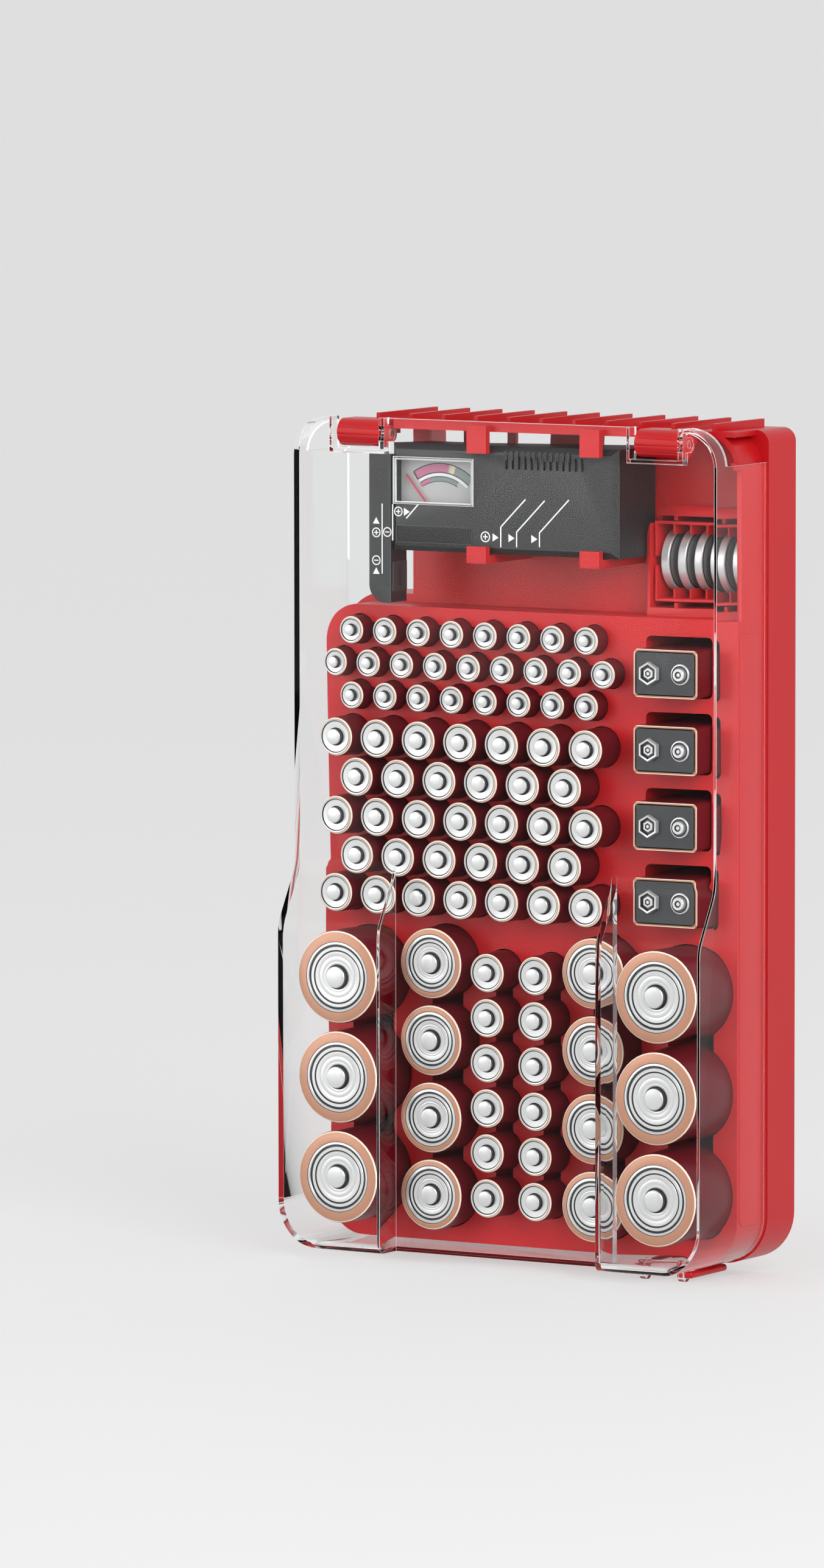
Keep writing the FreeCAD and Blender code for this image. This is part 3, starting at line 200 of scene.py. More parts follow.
# ---------------------------------------------------------------- round cells
# Steel cans in a shrunk, printed sleeve, maroon with a copper-coloured shoulder. The can's
# lip is rolled over a black gasket, which holds a pressed and nickel-plated cap.

maroon = (0.11, 0.003, 0.007)
sleeve = mottled("cell_sleeve", maroon, rough=0.34, uneven=0.04, grain=1500, height=0.003 * mm,
                 spread=0.15, mirror=0.3)
copper_ink = (0.47, 0.23, 0.145)
shoulder = mottled("sleeve_copper", copper_ink, rough=0.38, uneven=0.06, grain=1800,
                   height=0.02 * mm, spread=0.07, metallic=0.25)
# a pale cream ring at the sleeve's cut edge, which paints the highlight on the rolled edge
cut_edge_highlight = mottled("sleeve_edge_highlight", (0.86, 0.74, 0.60), rough=0.5, uneven=0.05, grain=2500,
                   height=0.01 * mm, spread=0.06)
bright = (0.64, 0.64, 0.64)
nickel = mottled("nickel_plate", bright, rough=0.30, uneven=0.06, grain=2500, height=0.01 * mm,
                 spread=0.06, metallic=0.6)
# a dark nickel that stands for shade: painted shade and painted dark reflection on the cells'
# wells, grooves and button sides, the snaps' hollows and the contacts
shade = (0.07, 0.07, 0.075)
nickel_painted_shade = mottled("nickel_in_shade", shade, rough=0.35, uneven=0.06, grain=2500,
                      height=0.01 * mm, spread=0.15, metallic=0.5)


def disc(name, radius, back, front, steps, stuff, sides=40):
    """A turned piece that faces out of the case: a round bar, its front stepped inwards.

    Each step is (radius, depth, finish number): the finish of the ring that ends there.
    """
    bpy.ops.object.select_all(action="DESELECT")
    bpy.ops.mesh.primitive_cylinder_add(vertices=sides, radius=radius, depth=front - back,
                                        location=(0, -(front + back) / 2, 0),
                                        rotation=(math.pi / 2, 0, 0))
    piece = bpy.context.object
    piece.name = piece.data.name = name
    for layer in stuff:
        piece.data.materials.append(layer)
    bpy.ops.object.transform_apply(location=True, rotation=True, scale=True)
    bpy.ops.object.mode_set(mode="EDIT")
    bpy.ops.mesh.select_mode(type="FACE")
    bpy.ops.mesh.select_all(action="DESELECT")
    bpy.ops.object.mode_set(mode="OBJECT")
    for face in piece.data.polygons:
        face.select = face.normal.y < -0.9
    bpy.ops.object.mode_set(mode="EDIT")
    rim, depth = radius, front
    for step_radius, step_depth, _ in steps:
        bpy.ops.mesh.extrude_region_move()
        share = step_radius / rim
        bpy.ops.transform.resize(value=(share, 1, share))
        bpy.ops.transform.translate(value=(0, depth - step_depth, 0))
        rim, depth = step_radius, step_depth
    bpy.ops.object.mode_set(mode="OBJECT")
    for face in piece.data.polygons:
        reach = max(math.hypot(*piece.data.vertices[i].co.xz) for i in face.vertices)
        level = max(-piece.data.vertices[i].co.y for i in face.vertices)
        inward = min(math.hypot(*piece.data.vertices[i].co.xz) for i in face.vertices)
        if level > front - 1e-6 or reach < radius - 1e-6:
            fits = [abs(inward - step[0]) + abs(reach - outer[0]) for outer, step in
                    zip([(radius, front)] + steps, steps)]
            face.material_index = steps[fits.index(min(fits))][2]
        if abs(face.normal.y) < 0.01 and reach > radius - 1e-6:
            face.material_index = 0
    bpy.ops.object.shade_smooth_by_angle(angle=math.radians(30))
    return piece


def middles(node):
    """The middle of each separate solid of a CAD node, from the top row down."""
    copy = nodes[node].copy()
    copy.data = nodes[node].data.copy()
    bpy.context.scene.collection.objects.link(copy)
    bpy.ops.object.select_all(action="DESELECT")
    copy.select_set(True)
    bpy.context.view_layer.objects.active = copy
    bpy.ops.object.mode_set(mode="EDIT")
    bpy.ops.mesh.select_all(action="SELECT")
    bpy.ops.mesh.remove_doubles(threshold=1e-6)
    bpy.ops.mesh.separate(type="LOOSE")
    bpy.ops.object.mode_set(mode="OBJECT")
    found = []
    for part in bpy.context.selected_objects:
        corners = [Vector(corner) for corner in part.bound_box]
        found.append(sum(corners, Vector()) / 8)
        bpy.data.objects.remove(part)
    return sorted(found, key=lambda place: (-round(place.z, 4), place.x))


def batch(model, places, node, turn=2.4):
    """Copies a piece to every place, joins the copies, and lets them stand for the node."""
    bpy.ops.object.select_all(action="DESELECT")
    copies = []
    for index, spot in enumerate(places):
        copy = model.copy()
        copy.data = model.data.copy()
        copy.data.transform(Matrix.Translation((spot.x, 0, spot.z))
                            @ Matrix.Rotation(turn * index, 4, "Y"))
        bpy.context.scene.collection.objects.link(copy)
        copy.select_set(True)
        copies.append(copy)
    bpy.context.view_layer.objects.active = copies[0]
    bpy.ops.object.join()
    whole = bpy.context.object
    whole.name = whole.data.name = model.name + "s"
    bpy.data.objects.remove(model)
    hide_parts(node)
    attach(whole, "tray")
    return whole


# the cell's size, then as shares of its radius: the copper shoulder's inner edge, the cap's
# edge, the groove in the cap (none in the small sizes) and the button
CELLS = (("aaa", 0.84, 0.76, 0, 0.38), ("aa", 0.86, 0.80, 0, 0.40),
         ("c", 0.82, 0.68, 0.60, 0.27), ("d", 0.765, 0.66, 0.585, 0.235))
for size, ring, cap_edge, groove, button in CELLS:
    low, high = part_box(f"{size}_cell_bodies")
    cap_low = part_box(f"{size}_cell_caps")[0]
    places = middles(f"{size}_cell_bases")
    radius = high.x - max(place.x for place in places)
    back, lip, top = -high.y, -low.y, -cap_low.y
    crease = 0.03 * radius + 0.15 * mm
    gap = cap_edge * radius + crease
    # the sleeve turns over the can's shoulder, its cut edge painted pale as a highlight, then come
    # the can's lip and the well behind it
    # the thin ring inside the copper and the well behind the lip take the dark nickel, painted
    # shade
    jacket = disc(f"{size}_cell_jacket", radius, back, lip - 1.5 * mm, [
        (radius - 0.25 * mm, lip - 0.7 * mm, 0), (radius - 0.7 * mm, lip - 0.25 * mm, 2),
        (radius - 1.0 * mm, lip - 0.1 * mm, 1), (ring * radius, lip - 0.05 * mm, 1),
        (ring * radius - 0.12 * mm, lip - 0.35 * mm, 4),
        (ring * radius - 0.25 * mm, lip - 0.1 * mm, 3),
        (gap + 0.2 * mm, lip, 3), (gap, lip - 0.3 * mm, 3),
        (gap - 0.05 * mm, lip - 1.4 * mm, 4), (0.5 * mm, lip - 1.4 * mm, 4)],
        (sleeve, shoulder, cut_edge_highlight, nickel, nickel_painted_shade))
    gasket_ring = disc(f"{size}_cell_gasket", gap - 0.02 * mm, lip - 1.35 * mm,
                       lip - 0.5 * mm, [(gap - 0.5 * crease, lip - 0.4 * mm, 0),
                                        (0.5 * mm, lip - 1.0 * mm, 0)], (gasket,))
    # the cap's plain ring, the beads pressed in the large caps, the foot of the button, and
    # the button with its rounded edge
    face = lip - 0.30 * mm
    step, stem = groove * radius, button * radius
    # the grooves of the beads and the side of the button take the dark nickel: painted shade and a
    # painted dark reflection
    beads = [(step, face, 0), (step - 0.10 * mm, face - 0.30 * mm, 1),
             (step - 0.10 * mm - 0.6 * crease, face - 0.30 * mm, 1),
             (step - 0.25 * mm - 0.6 * crease, face - 0.10 * mm, 0),
             (0.46 * radius, face - 0.06 * mm, 0), (0.445 * radius, face - 0.14 * mm, 0),
             (0.43 * radius, face - 0.06 * mm, 0), (stem * 1.5, face - 0.10 * mm, 0),
             (stem * 1.42, face - 0.18 * mm, 0), (stem * 1.34, face - 0.12 * mm, 0)]
    button_steps = [(stem * 1.16, face - 0.15 * mm, 0), (stem * 1.02, face - 0.45 * mm, 1),
                    (stem * 0.98, top - 0.35 * mm, 1), (stem * 0.92, top - 0.10 * mm, 0),
                    (stem * 0.80, top, 0), (stem * 0.1, top, 0)]
    cap = disc(f"{size}_cell_cap", cap_edge * radius, lip - 1.2 * mm, face - 0.25 * mm,
               [(cap_edge * radius - 0.25 * mm, face, 0)] + beads * bool(groove)
               + button_steps, (nickel, nickel_painted_shade))
    batch(jacket, places, f"{size}_cell_bodies")
    batch(gasket_ring, places, f"{size}_cell_seals")
    batch(cap, places, f"{size}_cell_caps")
    paint(f"{size}_cell_bases", nickel)

# ---------------------------------------------------------------- nine-volt cells
# A pressed steel case in a maroon sleeve, its rim rolled over and left copper-coloured round
# a black board, on which a round snap and a six-sided one are riveted.

board = (0.030, 0.031, 0.034)
top_board = mottled("nine_volt_board", board, rough=0.42, uneven=0.05, grain=1500,
                    height=0.02 * mm, spread=0.15)
# from the outside in: the sleeve's cut edge, painted pale as a highlight, the rolled rim, and the
# well with the board
corner, rim_roll, well = 1.6 * mm, 0.2 * mm, 1.2 * mm
edge_highlight_width, rim_edge = 0.3 * mm, 1.3 * mm
low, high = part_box("nine_volt_cases")
places = middles("nine_volt_tops")
wide, tall = high.x - low.x, 2 * (high.z - max(place.z for place in places))
front, back = -low.y, -high.y
bpy.ops.object.select_all(action="DESELECT")
bpy.ops.mesh.primitive_cube_add(size=1, location=(0, -(front + back) / 2, 0))
case = bpy.context.object
case.name = case.data.name = "nine_volt_case"
case.scale = (wide, front - back, tall)
for layer in (sleeve, shoulder, cut_edge_highlight, top_board):
    case.data.materials.append(layer)
bpy.ops.object.transform_apply(location=True, rotation=True, scale=True)
bpy.ops.object.mode_set(mode="EDIT")
bpy.ops.mesh.select_mode(type="EDGE")
bpy.ops.mesh.select_all(action="DESELECT")
bpy.ops.object.mode_set(mode="OBJECT")
for edge in case.data.edges:
    ends = [case.data.vertices[i].co for i in edge.vertices]
    edge.select = abs(ends[0].y - ends[1].y) > 0.01
bpy.ops.object.mode_set(mode="EDIT")
bpy.ops.mesh.bevel(offset=corner, segments=4, affect="EDGES")
bpy.ops.mesh.select_mode(type="FACE")
bpy.ops.mesh.select_all(action="DESELECT")
bpy.ops.object.mode_set(mode="OBJECT")
for face in case.data.polygons:
    face.select = face.normal.y < -0.9
bpy.ops.object.mode_set(mode="EDIT")
for inset, drop in ((0.25, 0.0), (0.25, -0.2), (0.65, 0.0), (0.2, 0.55), (0.25, 0.0)):
    bpy.ops.mesh.inset(thickness=inset * mm)
    bpy.ops.transform.translate(value=(0, drop * mm, 0))
bpy.ops.object.mode_set(mode="OBJECT")
for face in case.data.polygons:
    flat = [case.data.vertices[i].co for i in face.vertices]
    spot = sum(flat, Vector()) / len(flat)
    rim = min(wide / 2 - abs(spot.x), tall / 2 - abs(spot.z))
    if -spot.y > front - well and abs(face.normal.y) > 0.2:
        face.material_index = 2 if rim < edge_highlight_width else 1 if rim < rim_edge else 3
    elif -spot.y > front - 0.7 * mm and rim > 0.8 * mm:
        face.material_index = 3
case.data.transform(Matrix.Translation((0, rim_roll, 0)))
bpy.ops.object.select_all(action="DESELECT")
case.select_set(True)
bpy.ops.object.shade_smooth_by_angle(angle=math.radians(35))
batch(case, places, "nine_volt_cases", 0)
# the hollows of the snaps take the dark nickel, painted shade
for node, name, sides in (("nine_volt_hex_snaps", "hex_snap", 6),
                          ("nine_volt_round_snaps", "round_snap", 32)):
    low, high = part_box(node)
    places = middles(node)
    radius, base, tip = (high.x - low.x) / 2, front - 0.8 * mm, -low.y
    if sides == 6:
        rings = [(radius, tip - 0.4 * mm, 0), (radius * 0.94, tip, 0), (radius * 0.86, tip, 0),
                 (radius * 0.78, tip - 0.15 * mm, 0), (radius * 0.74, tip - 1.4 * mm, 1),
                 (radius * 0.52, tip - 1.4 * mm, 1), (radius * 0.50, tip - 0.5 * mm, 0),
                 (radius * 0.44, tip - 0.35 * mm, 0), (radius * 0.30, tip - 0.35 * mm, 0),
                 (radius * 0.26, tip - 0.6 * mm, 1), (radius * 0.16, tip - 0.6 * mm, 1),
                 (radius * 0.14, tip - 0.3 * mm, 0), (radius * 0.05, tip - 0.3 * mm, 0)]
    else:
        rings = [(radius * 0.96, front + 0.6 * mm, 0), (radius * 0.86, front + 0.7 * mm, 0),
                 (radius * 0.82, front + 0.1 * mm, 1), (radius * 0.64, front + 0.1 * mm, 1),
                 (radius * 0.62, tip - 0.3 * mm, 0), (radius * 0.56, tip, 0),
                 (radius * 0.34, tip, 0), (radius * 0.31, tip - 0.5 * mm, 1),
                 (radius * 0.20, tip - 0.5 * mm, 1), (radius * 0.17, tip - 0.2 * mm, 0),
                 (radius * 0.05, tip - 0.2 * mm, 0)]
    snap = disc(name, radius, base, front + 0.4 * mm, rings,
                (nickel, nickel_painted_shade), sides)
    batch(snap, places, node, 0)
paint("nine_volt_tops", top_board)

# ---------------------------------------------------------------- tester
# The tester is a charcoal two-part case with a moving-coil meter; its arm slides in the side
# and carries the contacts. Signs and guide lines are pad-printed in white.

charcoal = (0.010, 0.0105, 0.012)
tester_plastic = mottled("charcoal_plastic", charcoal, rough=0.42, uneven=0.05, grain=2600,
                         height=0.003 * mm, spread=0.10)
# the rounded edges of the tester and its frames are painted a lighter grey, a painted highlight
edge_highlight_grey = (0.060, 0.062, 0.066)
tester_edge_highlight = mottled("charcoal_edge_highlight", edge_highlight_grey, rough=0.36, uneven=0.05, grain=2600,
                      height=0.003 * mm, spread=0.10)
tester_layers = (tester_plastic, tester_edge_highlight)
softened("tester_front", "tester_front_shell", tester_layers, "tray")
softened("tester_arm", "tester_sliding_arm", tester_layers, "arm")
paint("tester_back", tester_plastic)
brass = mottled("contact_brass", (0.72, 0.55, 0.28), rough=0.3, uneven=0.06, grain=2500,
                height=0.01 * mm, spread=0.08, metallic=1.0)
paint("body_contact", brass)
# the contacts take the dark nickel, painted shade
paint("nine_volt_contacts", nickel_painted_shade)
paint("arm_contact", nickel_painted_shade)
copper = mottled("copper_winding", (0.75, 0.32, 0.15), rough=0.35, uneven=0.1, grain=4000,
                 height=0.05 * mm, spread=0.15, metallic=1.0)
paint("meter_coil", copper)
ferrite = mottled("magnet_ferrite", (0.03, 0.03, 0.032), rough=0.6, uneven=0.08, grain=2500,
                  height=0.04 * mm, spread=0.2, metallic=0.4)
paint("meter_magnet", ferrite)
zinc = mottled("zinc_plate", (0.55, 0.55, 0.56), rough=0.35, uneven=0.08, grain=2500,
               height=0.01 * mm, spread=0.08, metallic=1.0)
paint("tester_screws", zinc)
paint("needle_spindle", zinc)
lacquer = mottled("resistor_lacquer", (0.55, 0.42, 0.24), rough=0.35, uneven=0.06, grain=2500,
                  height=0.01 * mm, spread=0.10)
paint("load_resistors", lacquer)
pale_grey = (0.46, 0.46, 0.455)
card = mottled("dial_card", pale_grey, rough=0.5, uneven=0.05, grain=3000, height=0.003 * mm,
               spread=0.05)
paint("meter_dial", card)
needle_red = mottled("needle_red", (0.55, 0.02, 0.09), rough=0.4, uneven=0.05, grain=3000,
                     height=0.01 * mm, spread=0.06)
paint("meter_needle", needle_red)

ink_coat = 0.04 * mm


def ink(name, colour):
    """A thin coat of printing ink, with its slight unevenness."""
    return mottled(name, colour, rough=0.5, uneven=0.05, grain=3000, height=0.005 * mm,
                   spread=0.08)


def ring_print(middle_x, middle_z, level, outer, inner, start, end, sides=180):
    """A flat ring, or the arc of it from start to end degrees right of straight up.

    Here and below, level is how far the mark stands in front of the wall.
    """
    bpy.ops.object.select_all(action="DESELECT")
    bpy.ops.mesh.primitive_circle_add(vertices=sides, radius=outer,
                                      location=(middle_x, -level, middle_z),
                                      rotation=(math.pi / 2, 0, 0))
    bpy.ops.object.mode_set(mode="EDIT")
    bpy.ops.mesh.select_all(action="SELECT")
    bpy.ops.mesh.extrude_edges_move()
    bpy.ops.transform.resize(value=(inner / outer, inner / outer, inner / outer))
    bpy.ops.mesh.select_mode(type="FACE")
    bpy.ops.mesh.select_all(action="DESELECT")
    bpy.ops.object.mode_set(mode="OBJECT")
    mark = bpy.context.object
    bpy.ops.object.transform_apply(location=True, rotation=True, scale=True)
    for face in mark.data.polygons:
        spot = sum((mark.data.vertices[i].co for i in face.vertices), Vector()) / 4
        turn = math.degrees(math.atan2(spot.x - middle_x, spot.z - middle_z))
        face.select = not start < turn < end
    bpy.ops.object.mode_set(mode="EDIT")
    bpy.ops.mesh.delete(type="FACE")
    bpy.ops.object.mode_set(mode="OBJECT")
    return mark


def stroke(start, end, level, width):
    """A flat straight line with ends cut square."""
    run = Vector((end[0] - start[0], end[1] - start[1]))
    bpy.ops.object.select_all(action="DESELECT")
    bpy.ops.mesh.primitive_plane_add(size=1, location=(0, 0, 0), rotation=(math.pi / 2, 0, 0))
    mark = bpy.context.object
    bpy.ops.object.transform_apply(location=True, rotation=True, scale=True)
    mark.data.transform(Matrix.Diagonal((run.length, 1, width, 1)))
    mark.data.transform(Matrix.Rotation(-math.atan2(run.y, run.x), 4, "Y"))
    mark.data.transform(Matrix.Translation(((start[0] + end[0]) / 2, -level,
                                            (start[1] + end[1]) / 2)))
    return mark


def pointer(x, z, level, size, heading):
    """A flat triangle that points to its heading, in degrees from the right."""
    bpy.ops.object.select_all(action="DESELECT")
    bpy.ops.mesh.primitive_circle_add(vertices=3, radius=size, fill_type="NGON",
                                      location=(0, 0, 0), rotation=(math.pi / 2, 0, 0))
    mark = bpy.context.object
    bpy.ops.object.transform_apply(location=True, rotation=True, scale=True)
    mark.data.transform(Matrix.Translation((x, -level, z))
                        @ Matrix.Rotation(math.radians(90 - heading), 4, "Y"))
    return mark


def printed(name, marks, stuff, body, thickness=ink_coat):
    """Joins flat marks to one coat of ink, gives it its thickness, and fixes it to its body."""
    bpy.ops.object.select_all(action="DESELECT")
    for mark in marks:
        mark.select_set(True)
    bpy.context.view_layer.objects.active = marks[0]
    bpy.ops.object.join()
    coat = bpy.context.object
    coat.name = coat.data.name = name
    bpy.ops.object.mode_set(mode="EDIT")
    bpy.ops.mesh.select_all(action="SELECT")
    bpy.ops.mesh.normals_make_consistent(inside=False)
    bpy.ops.object.mode_set(mode="OBJECT")
    if sum(face.normal.y * face.area for face in coat.data.polygons) > 0:
        coat.data.flip_normals()
    layer = coat.modifiers.new("ink", "SOLIDIFY")
    layer.thickness = thickness
    layer.offset = -1
    bpy.ops.object.modifier_apply(modifier=layer.name)
    coat.data.materials.clear()
    coat.data.materials.append(stuff)
    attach(coat, body)
    return coat


pivot_x, pivot_z = -33.3 * mm, -9.6 * mm    # the needle's axis
dial_level = -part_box("meter_dial")[0].y + ink_coat
black_ink = ink("dial_black", (0.05, 0.05, 0.06))
pink_ink = ink("dial_pink", (0.50, 0.16, 0.27))
yellow_ink = ink("dial_yellow", (0.72, 0.62, 0.38))
green_ink = ink("dial_green", (0.22, 0.27, 0.26))
white_ink = ink("dial_white", (0.80, 0.80, 0.79))


def arc(outer, inner, start, end, lift):
    """A printed arc round the needle's axis, its radii and its lift off the card in mm."""
    return ring_print(pivot_x, pivot_z, dial_level + lift * mm, outer * mm, inner * mm, start, end)


printed("dial_outlines", [arc(21.2, 20.8, -33, 41, 0), arc(17.9, 17.5, -33, 41, 0),
                          arc(16.3, 16.0, -33, 29, 0), arc(14.6, 14.3, -33, 29, 0),
                          arc(21.1, 17.6, -34, -32, 0), arc(21.1, 17.6, 11, 12.6, 0.02),
                          arc(21.1, 17.6, 17, 18.6, 0.02), arc(2.6, 2.1, -60, 60, 0.02)],
        black_ink, "tray")
printed("dial_low_band", [arc(20.8, 17.9, -32, 11, 0), arc(16.0, 14.6, -33, -17, 0)], pink_ink,
        "tray")
printed("dial_middle_band", [arc(20.8, 17.9, 12.6, 17, 0)], yellow_ink, "tray")
printed("dial_good_band", [arc(20.8, 17.9, 18.6, 41, 0), arc(16.0, 14.6, -17, 29, 0)], green_ink,
        "tray")
printed("dial_gap_band", [arc(17.4, 16.4, -33, 41, 0)], white_ink, "tray")

front_level = -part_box("tester_front")[0].y + ink_coat
# guide lines, each from one end to the other, across and up in mm
guides = [((-4.8, -10.5), (-4.8, -17.9)), ((-4.8, -10.5), (5.6, -0.1)),
          ((1.9, -12.1), (1.9, -17.6)), ((1.9, -12.1), (13.7, -0.3)),
          ((11.5, -12.0), (11.5, -17.2)), ((11.5, -12.0), (23.8, 0.3)),
          ((-50.6, -3.8), (-50.6, -17.1)), ((-44.8, -8.8), (-39.6, -3.4))]
marks = [stroke(Vector(start) * mm, Vector(end) * mm, front_level, 0.5 * mm)
         for start, end in guides]
marks += [pointer(x * mm, z * mm, front_level, 1.7 * mm, 0)
          for x, z in ((-7.4, -14.4), (-0.7, -14.4), (8.9, -14.4), (-45.0, -6.4))]


def sign(x, z, level, size, plus):
    """A plus or a minus in a ring."""
    x, z, size = x * mm, z * mm, size * mm
    found = [ring_print(x, z, level, size, size * 0.78, -181, 181, 32),
             stroke((x - size * 0.5, z), (x + size * 0.5, z), level, size * 0.22)]
    if plus:
        found += [stroke((x, z + size * 0.12), (x, z + size * 0.5), level, size * 0.22),
                  stroke((x, z - size * 0.5), (x, z - size * 0.12), level, size * 0.22)]
    return found


label_white = ink("label_white", (0.80, 0.80, 0.80))


def raised_frame(name, left, right, low, high, back, front, width, layers, body):
    """A square frame that stands out of a flat face, its outer and inner edges rounded."""
    bpy.ops.object.select_all(action="DESELECT")
    bpy.ops.mesh.primitive_plane_add(size=1, rotation=(math.pi / 2, 0, 0))
    frame_piece = bpy.context.object
    frame_piece.name = frame_piece.data.name = name
    for layer in layers:
        frame_piece.data.materials.append(layer)
    bpy.ops.object.transform_apply(location=True, rotation=True, scale=True)
    frame_piece.data.transform(Matrix.Translation(((left + right) / 2, -back, (low + high) / 2))
                               @ Matrix.Diagonal((right - left, 1, high - low, 1)))
    bpy.ops.object.mode_set(mode="EDIT")
    bpy.ops.mesh.select_all(action="SELECT")
    bpy.ops.mesh.inset(thickness=width)
    bpy.ops.mesh.delete(type="FACE")
    bpy.ops.object.mode_set(mode="OBJECT")
    depth = frame_piece.modifiers.new("depth", "SOLIDIFY")
    depth.thickness = front - back
    depth.offset = 1
    bpy.ops.object.modifier_apply(modifier=depth.name)
    rounding = frame_piece.modifiers.new("rounded_edges", "BEVEL")
    rounding.width = min(width, front - back) * 0.3
    rounding.segments = 2
    rounding.material = len(layers) - 1
    bpy.ops.object.modifier_apply(modifier=rounding.name)
    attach(frame_piece, body)
    return frame_piece


raised_frame("cell_rest_frame", -49.0 * mm, -16.9 * mm, -17.6 * mm, -11.3 * mm, 49.9 * mm,
             50.2 * mm, 0.35 * mm, tester_layers, "tray")
grip_low, grip_high, grip_front, grip_wide = 14.2 * mm, 17.4 * mm, 50.25 * mm, 1.3 * mm
ribs = [stroke((x * mm, grip_low), (x * mm, grip_high), grip_front, grip_wide)
        for x in [-2.6 + 2.4 * count for count in range(12)]]
grip_shade = mottled("grip_shade", (0.008, 0.008, 0.009), rough=0.5, uneven=0.05, grain=2600,
                     height=0.003 * mm, spread=0.10)
printed("grip_ribs", ribs, grip_shade, "tray", 0.3 * mm)
marks += sign(-11.3, -14.3, front_level, 2.0, True) + sign(-48.2, -6.4, front_level, 1.8, True)
printed("front_guide_marks", marks, label_white, "tray")
arm_level = -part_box("tester_arm")[0].y + ink_coat
marks = [stroke((-55.3 * mm, -3.8 * mm), (-55.3 * mm, -29.4 * mm), arm_level, 0.45 * mm),
         pointer(-57.8 * mm, -10.4 * mm, arm_level, 1.6 * mm, 90),
         pointer(-57.8 * mm, -28.8 * mm, arm_level, 1.6 * mm, 90)]
for x, z, plus in ((-57.8, -14.4, True), (-57.8, -24.6, False), (-53.1, -14.1, False)):
    marks += sign(x, z, arm_level, 1.8, plus)
printed("arm_guide_marks", marks, label_white, "arm")

# ---------------------------------------------------------------- clear cover
# The cover is one moulding of clear styrene, polished by the mould, with a deeper part over
# each stack of D cells. Its ears turn on pins in the tray's barrels. The meter window and the
# frame round it are of the same plastic.


def clear(name, tint, rough):
    """Clear plastic: it bends and mirrors what the eye sees, and lets the lamps through."""
    stuff, tree, shader = finish(name, tint, rough)
    shader.inputs["Transmission Weight"].default_value = 1.0
    shader.inputs["IOR"].default_value = 1.3
    shader.inputs["Specular Tint"].default_value = (0.18, 0.18, 0.18, 1)
    make, link = tree.nodes.new, tree.links.new
    seen = make("ShaderNodeLightPath")
    through = make("ShaderNodeBsdfTransparent")
    through.inputs["Color"].default_value = (0.96, 0.96, 0.96, 1)
    mix = make("ShaderNodeMixShader")
    link(seen.outputs["Is Shadow Ray"], mix.inputs["Fac"])
    link(shader.outputs["BSDF"], mix.inputs[1])
    link(through.outputs["BSDF"], mix.inputs[2])
    link(mix.outputs["Shader"], tree.nodes["Material Output"].inputs["Surface"])
    return stuff


clear_plastic = clear("clear_styrene", (0.99, 0.995, 0.995), 0.0)
# the rounded edges of the clear pieces take a pale, partly opaque finish: a painted highlight that
# draws the bright edge lines
clear_edge_highlight = clear("clear_edge_highlight", (0.94, 0.94, 0.94), 0.15)
clear_edge_highlight.node_tree.nodes["Principled BSDF"].inputs["Transmission Weight"].default_value = 0.30
clear_layers = (clear_plastic, clear_edge_highlight)
softened("clear_cover", "cover_shell", clear_layers, "cover", 0.5 * mm, 2, 40)
softened("meter_window", "meter_lens", clear_layers, "tray", 0.4 * mm, 2)
window_low, window_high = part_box("meter_window")
frame_lap = 0.4 * mm
raised_frame("meter_frame", window_low.x - frame_lap, window_high.x + frame_lap,
             window_low.z - frame_lap, window_high.z + frame_lap, 49.6 * mm, 50.5 * mm,
             1.1 * mm, clear_layers, "tray")

# ---------------------------------------------------------------- latch
# A red frame that hangs by its stub ends in two clear ring lugs under the cover, and snaps
# over a catch on the tray's lower edge.

softened("latch_bail", "latch_frame", (red_plastic,), "latch", segments=2)

# ---------------------------------------------------------------- studio
# A wide sheet of pale card with no seam behind it, under an even grey-white room. One large
# soft lamp to the right is the key, and a weaker one to the left fills the shadows.

floor_level, floor_side = cad_low[2] - 0.2 * mm, 60
pale_tone, glow_share = (0.86, 0.86, 0.86, 1), 0.6
bpy.ops.object.select_all(action="DESELECT")
bpy.ops.mesh.primitive_plane_add(size=floor_side, location=(0, 0, floor_level))
floor = bpy.context.object
floor.name = "studio_floor"
pale = mottled("pale_floor", (0.92, 0.92, 0.92), rough=0.6, uneven=0.02, grain=300,
               height=0.01 * mm, spread=0.01, mirror=0.1)
floor.data.materials.append(pale)

world = bpy.data.worlds.new("studio")
bpy.context.scene.world = world
world.use_nodes = True
sky = world.node_tree.nodes["Background"]
sky.inputs["Color"].default_value = (0.9, 0.9, 0.9, 1)
sky.inputs["Strength"].default_value = 0.62


def seen_by_eye(tree):
    """One where the eye sees a surface, straight or by way of metal or glass."""
    rays = tree.nodes.new("ShaderNodeLightPath")
    total = rays.outputs["Is Camera Ray"]
    for kind in ("Is Glossy Ray", "Is Transmission Ray"):
        add = tree.nodes.new("ShaderNodeMath")
        add.operation = "MAXIMUM"
        tree.links.new(total, add.inputs[0])
        tree.links.new(rays.outputs[kind], add.inputs[1])
        total = add.outputs["Value"]
    return total


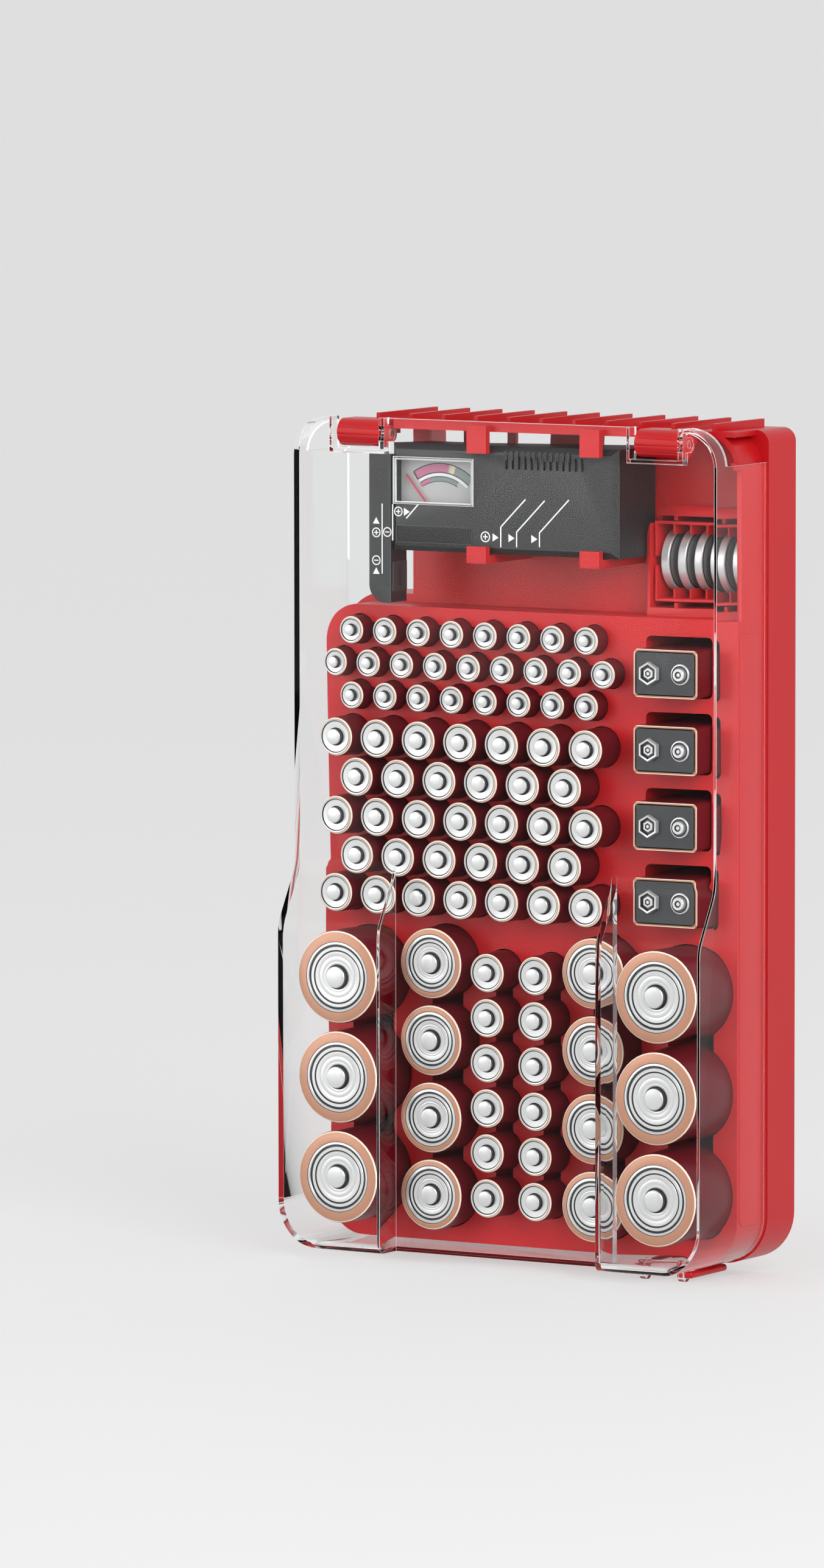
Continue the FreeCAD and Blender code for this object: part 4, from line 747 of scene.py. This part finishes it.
pale_sky = world.node_tree.nodes.new("ShaderNodeBackground")
pale_sky.inputs["Color"].default_value = pale_tone
backdrop = world.node_tree.nodes.new("ShaderNodeMixShader")
link = world.node_tree.links.new
link(seen_by_eye(world.node_tree), backdrop.inputs["Fac"])
link(sky.outputs["Background"], backdrop.inputs[1])
link(pale_sky.outputs["Background"], backdrop.inputs[2])
link(backdrop.outputs["Shader"], world.node_tree.nodes["World Output"].inputs["Surface"])
glow = pale.node_tree.nodes.new("ShaderNodeEmission")
glow.inputs["Color"].default_value = pale_tone
share = pale.node_tree.nodes.new("ShaderNodeMath")
share.operation = "MULTIPLY"
share.inputs[1].default_value = glow_share
blend = pale.node_tree.nodes.new("ShaderNodeMixShader")
link = pale.node_tree.links.new
link(seen_by_eye(pale.node_tree), share.inputs[0])
link(share.outputs["Value"], blend.inputs["Fac"])
link(pale.node_tree.nodes["Principled BSDF"].outputs["BSDF"], blend.inputs[1])
link(glow.outputs["Emission"], blend.inputs[2])
link(blend.outputs["Shader"], pale.node_tree.nodes["Material Output"].inputs["Surface"])


def lamp(name, place, aim, size, power):
    """A soft flat lamp that faces its aim, its size in metres and its power in watts."""
    light = bpy.data.lights.new(name, "AREA")
    light.shape = "RECTANGLE"
    light.size, light.size_y = size
    light.energy = power
    holder = bpy.data.objects.new(name, light)
    bpy.context.scene.collection.objects.link(holder)
    holder.location = place
    holder.rotation_euler = (Vector(aim) - Vector(place)).to_track_quat("-Z", "Y").to_euler()


middle = Vector((0.0, -0.03, -0.127))
lamp("key", (1.5, -1.0, 0.8), middle, (1.0, 1.0), 19)
lamp("fill", (-1.2, -1.4, 0.4), middle, (1.2, 1.2), 9)

# ---------------------------------------------------------------- camera
# The camera stands to the right of the case, a little above its middle, and far enough away
# for its upright edges to stay parallel.

azimuth, elevation, distance = math.radians(30.5), math.radians(5.7), 4.2
view_wide, view_high = 1353, 2576
pixels_per_mm = 4.5
middle_across, middle_down = 888, 1384    # where the case's middle falls in the view
sensor_high = 36
away = Vector((math.sin(azimuth) * math.cos(elevation),
               -math.cos(azimuth) * math.cos(elevation), math.sin(elevation)))
camera = bpy.data.objects.new("camera", bpy.data.cameras.new("camera"))
bpy.context.scene.collection.objects.link(camera)
camera.location = middle + away * distance
camera.rotation_euler = away.to_track_quat("Z", "Y").to_euler()
camera.data.sensor_fit = "VERTICAL"
camera.data.sensor_height = sensor_high
camera.data.lens = pixels_per_mm / mm * distance * sensor_high / view_high
camera.data.shift_x = -(middle_across - view_wide / 2) / view_high
camera.data.shift_y = (middle_down - view_high / 2) / view_high
camera.data.clip_end = 100
bpy.context.scene.camera = camera
bpy.context.scene.view_settings.view_transform = "Standard"
